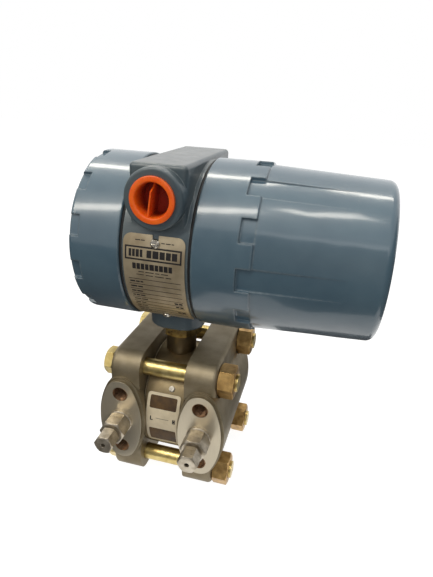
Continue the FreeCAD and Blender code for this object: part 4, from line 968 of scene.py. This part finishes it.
@dataclass
class Assembly:
    """What every sub-assembly shares: the frame, the materials and how a node is dressed."""

    frame: dict[str, Any]
    palette: dict[Finish, Material]
    body: str = "pressure_module"
    crease: float = 32.0
    made: list[str] = field(default_factory=list)

    def slot_of(self, node: str) -> str:
        """The record's material slot of a node."""
        rows = self.frame["record"]["subparts"]
        return next(row["material_slot"] for row in rows if row["node"] == node)

    def dress(self, finishes: dict[str, Finish], crease: float | None = None) -> None:
        """Stand smoothed copies for nodes, each with its finish and an angle past which edges stay sharp."""
        for node, finish in finishes.items():
            self.stand_for(node, self.frame["nodes"][node].data.copy(), finish, crease)

    def stand_for(self, node: str, mesh: Mesh, finish: Finish, crease: float | None = None) -> None:
        """Stand a finished mesh in a node's place.

        Args:
            node: Name of the frame's node.
            mesh: Mesh that takes its place.
            finish: Finish of the mesh.
            crease: Angle in degrees past which an edge stays sharp.
        """
        mesh.materials.clear()
        creased(mesh, crease or self.crease)
        mesh.materials.append(self.palette[finish])
        copy = placed(node + "_dressed", mesh)
        copy.modifiers.new("even_normals", "WEIGHTED_NORMAL").keep_sharp = True
        settled(copy)
        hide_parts(node)
        self.carry(copy, self.slot_of(node), self.frame["nodes"][node]["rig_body"])

    def carry(self, piece: Object, slot: str | None = None, body: str | None = None) -> None:
        """Let a piece ride on a body.

        Args:
            piece: The finished piece.
            slot: Material slot of the record, if it has one; not used.
            body: Body that carries it, or None for the sub-assembly's own.
        """
        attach(piece, body or self.body)
        self.made.append(piece.name)

    def cut(self, name: str, size: ThreadSize, starts: Iterable[Sequence[float]], heading: Heading,
            slot: str | None, finish: Finish = Finish.THREAD) -> None:
        """Show a screw thread from each of some places on.

        Args:
            name: Name of the piece.
            size: Sizes of the thread.
            starts: Where the threads start.
            heading: Where they run to.
            slot: Material slot of the record, if they have one.
            finish: Their finish.
        """
        thread = ScrewThread().make(
            name, plain_mesh(name, starts), Finish=self.palette[finish], Radius=size.radius,
            Pitch=size.pitch, Turns=size.turns, Ridge=size.ridge, Steps=size.steps,
            Direction=heading.value)
        self.carry(thread, slot)


@dataclass
class PressureCell(Assembly):
    """Sensor cell with its label, fill plug, weld beads, neck and inner parts."""

    label_radius: float = 38.52 * MM
    sign_low: float = 1.5
    sign_height: float = 3.2 * MM
    bead_circle: float = 37.15 * MM
    bead_size: float = 0.55 * MM
    bead_count: int = 230
    bead_inset: float = 0.75 * MM

    def build(self) -> None:
        """Dress the cell's nodes and add what the solids leave out."""
        self.dress({"sensor_cell": Finish.CELL, "fill_plug": Finish.SCREW, "cell_label": Finish.LABEL,
                    "neck_tube": Finish.NECK, "neck_lock_nut": Finish.LOCK,
                    "sensor_leads": Finish.WIRING})
        for side in ("low", "high"):
            self.dress({"glass_insulator_" + side: Finish.GLASS,
                        "isolating_diaphragm_" + side: Finish.DIAPHRAGM,
                        "process_gasket_" + side: Finish.GASKET})
        self.dress({"sensing_diaphragm": Finish.DIAPHRAGM})
        self.print_label()
        self.weld_ends()

    def print_label(self) -> None:
        """Print the two windows, the side letters and the line between them."""
        low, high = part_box("cell_label")
        arc = self.label_radius * math.radians(1)
        wrap = PrintWrap()
        size = {"Radius": self.label_radius, "Axis_X": (low.x + high.x) / 2, "Axis_Z": CELL_AXIS_Z}
        windows, marks = FlatPrint(0.03 * MM, 0.1 * MM), FlatPrint(0.04 * MM, 0.1 * MM)
        # Left and right in millimetres, low and high in degrees, and the corner in millimetres
        for left, right, under, over, corner in ((-9.3, 9.2, 15.0, 28.2, 1.0), (-9.4, 9.2, -26.6, -8.0, 0.8)):
            windows.panel(left * MM, right * MM, under * arc, over * arc, corner * MM)
        self.carry(wrap.make("label_windows", windows.done("label_windows"), **size,
                             Finish=self.palette[Finish.WINDOW], Lines=0))
        for letter, middle, weight in (("L", -7.6, 0.75), ("H", 7.9, 0.85)):
            marks.sign(letter, middle * MM, self.sign_low * arc, self.sign_height, weight * MM)
        self.carry(wrap.make("label_marks", marks.done("label_marks"), **size,
                             Finish=self.palette[Finish.INK], Lines=1, Top=4.6 * arc, Left=-4.4 * MM,
                             Right=4.5 * MM, Stroke=0.25 * MM, Gauge=0.08 * MM, Pitch=1 * MM))

    def weld_ends(self) -> None:
        """Lay a rippled weld bead round each end of the cell."""
        low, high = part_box("sensor_cell")
        ends = [(x, 0.0, CELL_AXIS_Z) for x in (low.x + self.bead_inset, high.x - self.bead_inset)]
        beads = WeldBead().make("cell_weld_beads", plain_mesh("cell_ends", ends), Size=self.bead_size,
                                Finish=self.palette[Finish.WELD], Radius=self.bead_circle,
                                Count=self.bead_count)
        self.carry(beads, "cell_steel")


@dataclass
class ProcessFlanges(Assembly):
    """The two cast flanges, their bolts and nuts, and the threads of their holes."""

    port_offset: float = 27.0 * MM
    pad_hole_rise: float = 20.65 * MM
    bolt_y: float = 28.5 * MM
    bolt_z: float = 35.5 * MM
    bolt_recess: float = 0.25 * MM
    port_recess: float = 1.2 * MM
    front_hole: ThreadSize = ThreadSize(5.1 * MM, 1.27 * MM, 9.0, 0.42 * MM, 28)
    rear_hole: ThreadSize = ThreadSize(4.92 * MM, 1.27 * MM, 9.0, 0.42 * MM, 28)
    rear_port: ThreadSize = ThreadSize(5.86 * MM, 1.41 * MM, 8.0, 0.45 * MM, 32)
    bolt_end: ThreadSize = ThreadSize(5.45 * MM, 0.62 * MM, 1.9, 0.3 * MM, 40)

    def build(self) -> None:
        """Dress the flanges and fasteners and cut their threads."""
        self.dress({"process_flange_" + side: Finish.CASTING for side in ("low", "high")}, 40.0)
        self.dress({"flange_bolts": Finish.BOLT, "flange_nuts": Finish.NUT})
        self.cut_threads()

    def cut_threads(self) -> None:
        """Show the threads of the pad holes, the rear ports and the bolt ends."""
        low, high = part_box("sensor_cell")
        ports = [(low.x + high.x) / 2 + side * self.port_offset for side in (-1, 1)]
        for name, face, heading, size in (
                ("front_pad_threads", -PAD_FACE, Heading.REARWARD, self.front_hole),
                ("rear_pad_threads", PAD_FACE, Heading.FORWARD, self.rear_hole)):
            places = [(x, face, CELL_AXIS_Z + rise)
                      for x in ports for rise in (-self.pad_hole_rise, self.pad_hole_rise)]
            self.cut(name, size, places, heading, "cast_stainless")
        mouths = [(x, PAD_FACE - self.port_recess, CELL_AXIS_Z) for x in ports]
        self.cut("rear_port_threads", self.rear_port, mouths, Heading.FORWARD, "cast_stainless")
        end_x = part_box("flange_nuts")[1].x + self.bolt_recess
        ends = [(end_x, side_y * self.bolt_y, CELL_AXIS_Z + side_z * self.bolt_z)
                for side_y in (-1, 1) for side_z in (-1, 1)]
        self.cut("bolt_threads", self.bolt_end, ends, Heading.RIGHTWARD, None, Finish.BOLT)


@dataclass
class VentValves(Assembly):
    """The two vent valves in the front ports: seat with collar and hexagon, ball and stem."""

    shank_run: float = 10.5 * MM
    shank_radius: float = 5.85 * MM
    collar_radius: float = 8.2 * MM
    collar_run: float = 2.0 * MM
    seat_flats: float = 15.0 * MM
    seat_end: float = 57.8 * MM
    bore_radius: float = 3.2 * MM
    bore_floor: float = 0.8 * MM
    neck_radius: float = 4.2 * MM
    neck_run: float = 0.9 * MM
    stem_flats: float = 11.4 * MM
    stem_start: float = 58.1 * MM
    stem_end: float = 69.0 * MM
    stem_depth: float = 9.0 * MM
    stem_fit: float = 0.05 * MM
    outlet_radius: float = 1.5 * MM
    outlet_run: float = 6.0 * MM
    mouth_bevel: float = 0.6 * MM
    crease: float = 18.0

    def build(self) -> None:
        """Build both valves on their ports' axes."""
        for side in ("low", "high"):
            low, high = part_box("vent_seat_" + side)
            centre = (low.x + high.x) / 2
            self.stand_for("vent_seat_" + side, self.seat(centre), Finish.VENT)
            self.stand_for("vent_stem_" + side, self.stem(centre), Finish.VENT)
            self.dress({"vent_ball_" + side: Finish.SCREW})

    def seat(self, x: float) -> Mesh:
        """Valve seat: shank in the port, collar on the pad, hexagon and bored mouth.

        Args:
            x: The port's x.

        Returns:
            The seat's mesh.
        """
        collar_end = PAD_FACE + self.collar_run
        part = TurnedPart()
        part.rounds((PAD_FACE - self.shank_run, self.shank_radius), (PAD_FACE, self.shank_radius),
                    (PAD_FACE, self.collar_radius), (collar_end - 0.4 * MM, self.collar_radius),
                    (collar_end, self.collar_radius - 0.5 * MM))
        part.hexagon(collar_end, self.seat_end, self.seat_flats, self.seat_flats * 0.47)
        part.rounds((self.seat_end, self.bore_radius + self.mouth_bevel),
                    (self.seat_end - self.mouth_bevel, self.bore_radius),
                    (PAD_FACE + self.bore_floor, self.bore_radius))
        return part.done("seat", x, CELL_AXIS_Z)

    def stem(self, x: float) -> Mesh:
        """Valve stem: thread inside the seat, neck, hexagon and outlet.

        Args:
            x: The port's x.

        Returns:
            The stem's mesh.
        """
        shank, neck_end = self.bore_radius - self.stem_fit, self.stem_start + self.neck_run
        part = TurnedPart()
        part.rounds((self.seat_end - self.stem_depth, shank), (self.stem_start, shank),
                    (self.stem_start, self.neck_radius), (neck_end, self.neck_radius))
        part.hexagon(neck_end, self.stem_end, self.stem_flats, self.stem_flats * 0.46)
        part.rounds((self.stem_end, self.outlet_radius),
                    (self.stem_end - self.outlet_run, self.outlet_radius))
        return part.done("stem", x, CELL_AXIS_Z)


@dataclass
class Housing(Assembly):
    """Painted housing with its covers, seals, conduit plug and adjusters."""

    body: str = "housing"
    conduit_rise: float = 34.4 * MM
    plug_flange: float = 1.8 * MM
    plug_floor: float = 1.6 * MM
    cup_radius: float = 10.1 * MM
    bore_radius: float = 8.6 * MM
    web_gauge: float = 0.85 * MM
    web_shift: float = 1.1 * MM
    web_tilt: float = 7.5
    cover_thread: ThreadSize = ThreadSize(45.3 * MM, 1.5 * MM, 8.0, 0.3 * MM, 96)
    pipe_thread: ThreadSize = ThreadSize(9.9 * MM, 1.81 * MM, 9.0, 0.6 * MM, 48)

    def build(self) -> None:
        """Dress the housing's shells and add the threads that opening it would show."""
        self.dress({"housing_body": Finish.BODY_PAINT, "terminal_cover": Finish.COVER_PAINT,
                    "electronics_cover": Finish.COVER_PAINT, "terminal_cover_seal": Finish.SEAL,
                    "electronics_cover_seal": Finish.SEAL})
        self.stand_for("conduit_plug", self.plug(), Finish.PLUG, 40.0)
        self.dress({"zero_screw": Finish.SCREW, "span_screw": Finish.SCREW})
        self.cut_threads()

    def plug(self) -> Mesh:
        """Thread protector: a flanged cup with a rolled lip, and a web across its bore.

        Returns:
            The plug's mesh.
        """
        low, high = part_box("conduit_plug")
        middle = (low + high) / 2
        front, tip, rim, bore = -low.y, -high.y, (high.x - low.x) / 2, self.bore_radius
        flange_back = front - self.plug_flange
        part = TurnedPart()
        part.rounds((tip, self.cup_radius - 0.4 * MM), (flange_back, self.cup_radius),
                    (flange_back, rim), (front - 0.4 * MM, rim), (front, rim - 0.5 * MM),
                    (front, bore + 1.3 * MM), (front - 0.3 * MM, bore + 0.9 * MM),
                    (front - 1.0 * MM, bore + 0.5 * MM), (front - 2.4 * MM, bore + 0.2 * MM),
                    (tip + self.plug_floor, bore))
        mesh = part.done("plug", middle.x, middle.z)
        self.add_web(mesh, Vector((middle.x - self.web_shift, low.y, middle.z)), high.y)
        return mesh

    def add_web(self, mesh: Mesh, middle: Vector, tip: float) -> None:
        """Add the plug's leaning web, whose upper end lies deeper in the bore.

        Args:
            mesh: The plug's mesh.
            middle: Where the web's middle meets the plug's front face.
            tip: Y of the plug's inner end.
        """
        half, depth = self.bore_radius + 0.2 * MM, tip - middle.y - 0.8 * MM
        outline = ((-half, 0.6 * MM), (4.4 * MM, 0.6 * MM), (6.2 * MM, 4.0 * MM), (half, 5.6 * MM),
                   (half, depth), (-half, depth))
        shape = bmesh.new()
        shape.from_mesh(mesh)
        turn = Matrix.Rotation(math.radians(self.web_tilt), 3, "Y")
        left, right = ([shape.verts.new(middle + turn @ Vector((side * self.web_gauge / 2, y, z)))
                        for z, y in outline] for side in (-1, 1))
        walls = [shape.faces.new(left), shape.faces.new(right[::-1])]
        for a, b, c, d in zip(left[1:] + left[:1], left, right, right[1:] + right[:1]):
            walls.append(shape.faces.new((a, b, c, d)))
        bmesh.ops.recalc_face_normals(shape, faces=walls)
        shape.to_mesh(mesh)
        shape.free()

    def cut_threads(self) -> None:
        """Show the cover threads on the housing and the rear conduit's pipe thread."""
        low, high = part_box("housing_body")
        starts = [(x, 0.0, HOUSING_AXIS_Z) for x in (low.x + 1.2 * MM, high.x - 13.2 * MM)]
        self.cut("cover_threads", self.cover_thread, starts, Heading.RIGHTWARD, "housing_paint")
        mouth = ((plate_middle(), high.y - 1.0 * MM, HOUSING_AXIS_Z + self.conduit_rise),)
        self.cut("rear_conduit_thread", self.pipe_thread, mouth, Heading.FORWARD, "housing_paint")


def plate_middle() -> float:
    """X of the conduit entries' axis, which is the middle of the nameplate's printing too."""
    low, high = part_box("nameplate")
    return (low.x + high.x) / 2 + 0.75 * MM


@dataclass
class Nameplate(Assembly):
    """Curved metal plate with plain ruled printing, held by two screws."""

    body: str = "housing"
    radius: float = 50.32 * MM
    left: float = -17.3 * MM
    right: float = 15.3 * MM
    frame_stroke: float = 0.95 * MM
    table_top: float = -12.8
    line_pitch: float = 4.1
    ruled_lines: int = 10
    marked_rows: tuple[int, ...] = (4, 5, 7)
    seed: int = 7

    def build(self) -> None:
        """Dress the plate and its screws and print it."""
        self.dress({"nameplate": Finish.PLATE, "nameplate_screws": Finish.SCREW})
        self.print_plate()

    def print_plate(self) -> None:
        """Print the framed band, the blocks round it and the ruled table."""
        arc = self.radius * math.radians(1)
        flat = FlatPrint(0.03 * MM, 0.15 * MM)
        flat.outline(self.left, self.right, 0.4 * arc, 9.4 * arc, self.frame_stroke)
        # Left and right in millimetres, low and high in degrees, widths, and the gap in millimetres
        for left, right, low, high, widths, gap in (
                (-15.0, -7.0, 2.5, 7.3, (1, 1, 1.2, 1), 0.5),
                (-4.6, 12.8, 2.5, 7.3, (1.2, 1.5, 1.3, 1.2, 1.3), 0.6),
                (-13.0, 10.0, -5.6, -1.6, (1, 1, 1, 1, 1.3, 1, 1.1, 1.1, 1), 0.45),
                (-9.6, 7.6, -7.6, -7.0, (4, 6, 3, 5), 0.9),
                (-11.0, -6.5, -9.6, -9.1, (1,), 0.0),
                (-5.4, 9.4, -9.8, -9.2, (4, 5, 3), 1.0),
                (-11.5, -6.0, 12.9, 13.5, (4, 3), 0.4),
                (3.4, 10.6, 12.3, 12.9, (3, 4, 2), 0.5)):
            flat.blocks(left * MM, right * MM, low * arc, high * arc, widths, gap * MM)
        self.table_marks(flat, arc)
        sheet = PrintWrap().make(
            "nameplate_print", flat.done("nameplate_print"), Finish=self.palette[Finish.INK],
            Radius=self.radius, Axis_X=plate_middle(), Axis_Z=HOUSING_AXIS_Z, Lines=self.ruled_lines,
            Pitch=self.line_pitch * arc, Top=self.table_top * arc, Left=-15.8 * MM, Right=14.6 * MM,
            Stroke=0.34 * MM, Gauge=0.1 * MM)
        self.carry(sheet)

    def table_marks(self, flat: FlatPrint, arc: float) -> None:
        """Print short dark marks between the ruled lines.

        Args:
            flat: The flat print that they join.
            arc: Arc length of one degree.
        """
        draw = random.Random(self.seed)
        for row in range(self.ruled_lines - 1):
            top = (self.table_top - self.line_pitch * row) * arc
            count = 2 + draw.randrange(2)
            widths = [1 + draw.random() for _ in range(count)]
            flat.blocks(-15.2 * MM, (-9.2 + 2.2 * draw.random()) * MM, top - 2.6 * arc,
                        top - 1.5 * arc, widths, 0.5 * MM)
            if row in self.marked_rows:
                flat.blocks((9.2 + draw.random()) * MM, 14.0 * MM, top - 3.0 * arc, top - 1.2 * arc,
                            (1, 1), 0.4 * MM)


@dataclass
class Electronics(Assembly):
    """Terminal block, boards and leads inside the housing."""

    def build(self) -> None:
        """Dress the parts inside the two compartments."""
        self.dress({"terminal_block": Finish.BLOCK, "terminal_screws": Finish.CONTACT,
                    "board_posts": Finish.CONTACT, "board_screws": Finish.CONTACT,
                    "sensor_board": Finish.LAMINATE, "calibration_board": Finish.LAMINATE,
                    "amplifier_board": Finish.LAMINATE, "board_components": Finish.BLOCK,
                    "lead_connector": Finish.WIRING})


# Studio


@dataclass(frozen=True)
class LampRow:
    """A row of lamps of one width over spans of its length, with their power for each metre."""

    name: str
    heading: tuple[float, float, float]
    distance: float
    turn: float
    width: float
    power: float
    spans: tuple[tuple[float, float], ...]
    colour: Colour = (1.0, 0.95, 0.85)
    gloss: float = 1.0


@dataclass
class Studio:
    """Camera, lamps, pale floor and surroundings, and the dark cards that reflections see."""

    swivel_x: float = 25.15 * MM
    eye: tuple[float, float, float] = (86.6 * MM, -266.7 * MM, 248.7 * MM)
    aim: tuple[float, float, float] = (23.1 * MM, 0.0, 132.3 * MM)
    roll: float = 3.0
    focal_pixels: float = 455.2
    sensor: float = 36.0
    near: float = 10 * MM
    lamps_face: tuple[float, float, float] = (45.15 * MM, 0.0, 150 * MM)
    rows: tuple[LampRow, ...] = (
        LampRow("front row", (-0.34, -0.68, 1.0), distance=1.3, turn=36.0, width=0.13, power=6.4,
                spans=((-0.65, 0.35), (0.50, 0.85))),
        LampRow("rear row", (-0.24, 0.38, 1.0), distance=1.2, turn=3.0, width=0.12, power=6.0,
                spans=((-0.65, 0.23), (0.38, 0.80))),
        LampRow("fill", (0.3, -1.0, 0.3), distance=1.5, turn=0.0, width=1.2, power=5.0,
                spans=((-0.6, 0.6),), colour=(1.0, 1.0, 1.0), gloss=0.2))
    soft_colour: Colour = (0.93, 0.97, 1.0)
    soft_strength: float = 0.30
    floor_half: float = 3.0
    floor_shade: Colour = (0.26, 0.24, 0.21)
    floor_seen: Colour = (0.30, 0.30, 0.30)
    floor_glow: float = 0.92
    card_colour: Colour = (0.085, 0.085, 0.09)
    card_lift: float = 2 * MM

    def build(self) -> None:
        """Set up the whole studio."""
        self.camera()
        self.surroundings()
        self.floor()
        self.lights()
        self.cards()
        bpy.context.scene.view_settings.view_transform = "Standard"

    def camera(self) -> None:
        """Stand the camera where the photograph was taken from."""
        data = bpy.data.cameras.new("camera")
        data.sensor_width = self.sensor
        data.lens = self.focal_pixels / IMAGE_LONG_SIDE * self.sensor
        data.clip_start = self.near
        camera = placed("camera", data)
        eye, aim = Vector(self.eye), Vector(self.aim)
        camera.rotation_mode = "QUATERNION"
        camera.rotation_quaternion = (aim - eye).to_track_quat("-Z", "Y") @ Quaternion(
            (0.0, 0.0, 1.0), math.radians(self.roll))
        camera.location = eye + Vector((self.swivel_x, 0.0, 0.0))
        bpy.context.scene.camera = camera

    @staticmethod
    def seen_directly(graph: NodeTree) -> Socket:
        """A socket that is 1 for camera, glossy and transmission rays.

        Args:
            graph: Tree of a material or of the world.

        Returns:
            The socket.
        """
        rays = graph.add("ShaderNodeLightPath").outputs
        direct = graph.calc("MAXIMUM", rays["Is Camera Ray"], rays["Is Glossy Ray"])
        return graph.calc("MAXIMUM", direct, rays["Is Transmission Ray"])

    def surroundings(self) -> None:
        """A white room for the camera and reflections, and an even soft light for surfaces."""
        world = bpy.data.worlds.new("studio")
        bpy.context.scene.world = world
        graph = emptied(world)
        soft, white = (graph.add("ShaderNodeBackground", {"Color": opaque(colour), "Strength": power})
                       for colour, power in ((self.soft_colour, self.soft_strength),
                                             ((1.0, 1.0, 1.0), 1.0)))
        mix = graph.add("ShaderNodeMixShader", {
            0: self.seen_directly(graph), 1: soft.outputs[0], 2: white.outputs[0]})
        graph.add("ShaderNodeOutputWorld", {0: mix.outputs[0]})

    def floor(self) -> None:
        """A pale floor that keeps the transmitter's shadow."""
        half = self.floor_half
        mesh = plain_mesh("floor", [(-half, -half, 0), (half, -half, 0), (half, half, 0),
                                    (-half, half, 0)], [(0, 1, 2, 3)])
        material = bpy.data.materials.new("floor")
        graph = emptied(material)
        plain, lit = (graph.add("ShaderNodeBsdfDiffuse", {"Color": opaque(colour)})
                      for colour in (self.floor_shade, self.floor_seen))
        glow = graph.add("ShaderNodeEmission", {"Strength": self.floor_glow})
        both = graph.add("ShaderNodeAddShader", {0: lit.outputs[0], 1: glow.outputs[0]})
        mix = graph.add("ShaderNodeMixShader", {
            0: self.seen_directly(graph), 1: plain.outputs[0], 2: both.outputs[0]})
        graph.add("ShaderNodeOutputMaterial", {0: mix.outputs[0]})
        mesh.materials.append(material)
        placed("floor", mesh)

    def lights(self) -> None:
        """Hang two rows of long ceiling lamps over the covers and a weak broad lamp in front."""
        for row in self.rows:
            for start, end in row.spans:
                data = bpy.data.lights.new(row.name, "AREA")
                data.shape = "RECTANGLE"
                data.size, data.size_y = end - start, row.width
                data.energy = row.power * (end - start)
                data.color = row.colour
                data.specular_factor = row.gloss
                self.hang(placed(row.name, data), row, (start + end) / 2)

    def hang(self, lamp: Object, row: LampRow, slide: float) -> None:
        """Hang a lamp of a row over the covers and let it face them.

        Args:
            lamp: The lamp, with its length along its own X.
            row: The row that it belongs to.
            slide: How far it stands along the row from the row's middle.
        """
        beam = Vector(row.heading).normalized()
        along = Vector((math.cos(math.radians(row.turn)), math.sin(math.radians(row.turn)), 0.0))
        across = beam.cross(along).normalized()
        length = across.cross(beam)
        place = Vector(self.lamps_face) + beam * row.distance + length * slide
        lamp.matrix_world = Matrix.Translation(place) @ Matrix(
            (length, across, beam)).transposed().to_4x4()

    def cards(self) -> None:
        """Dark cards on the bench and round it that only reflections see, as a dim room would be."""
        benches = {
            "bench card": [(-1.5, 0.4), (-0.06, 0.4), (-0.05, -0.04), (0.0, -0.06), (0.015, -0.17),
                           (0.08, -0.17), (0.11, -0.10), (0.22, -0.14), (1.5, -0.5), (1.5, -1.5),
                           (-1.5, -1.5)],
            "rear bench card": [(0.085, 0.02), (0.2, 0.02), (0.2, 0.2), (0.085, 0.2)],
            "right bench card": [(0.3, -0.3), (1.5, -0.5), (1.5, 1.0), (0.3, 0.5)]}
        walls = {"front card": ((-0.5, -1.2), (1.4, -1.2), 0.95),
                 "left card": ((-1.2, -1.2), (-1.2, 0.5), 0.5),
                 "right card": ((1.2, -1.2), (1.2, 0.6), 0.7)}
        shapes = {name: [(x, y, self.card_lift) for x, y in outline] for name, outline in benches.items()}
        for name, (start, end, height) in walls.items():
            shapes[name] = [(*start, 0.0), (*end, 0.0), (*end, height), (*start, height)]
        dim = bpy.data.materials.new("dim_card")
        graph = emptied(dim)
        glow = graph.add("ShaderNodeEmission", {"Color": opaque(self.card_colour)})
        graph.add("ShaderNodeOutputMaterial", {0: glow.outputs[0]})
        for name, outline in shapes.items():
            mesh = plain_mesh(name, outline, [tuple(range(len(outline)))])
            mesh.materials.append(dim)
            card = placed(name, mesh)
            card.visible_camera = card.visible_diffuse = card.visible_shadow = False
            card.visible_transmission = card.visible_volume_scatter = False


def main() -> None:
    """Load the frame, build every sub-assembly in order and set up the studio."""
    logging.basicConfig(level=logging.INFO, format="%(name)s: %(message)s")
    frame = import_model()
    palette = {finish: finish.value.build() for finish in Finish}
    for kind in (PressureCell, ProcessFlanges, VentValves, Housing, Nameplate, Electronics):
        assembly = kind(frame, palette)
        assembly.build()
    Studio().build()


if __name__ == "__main__":
    main()
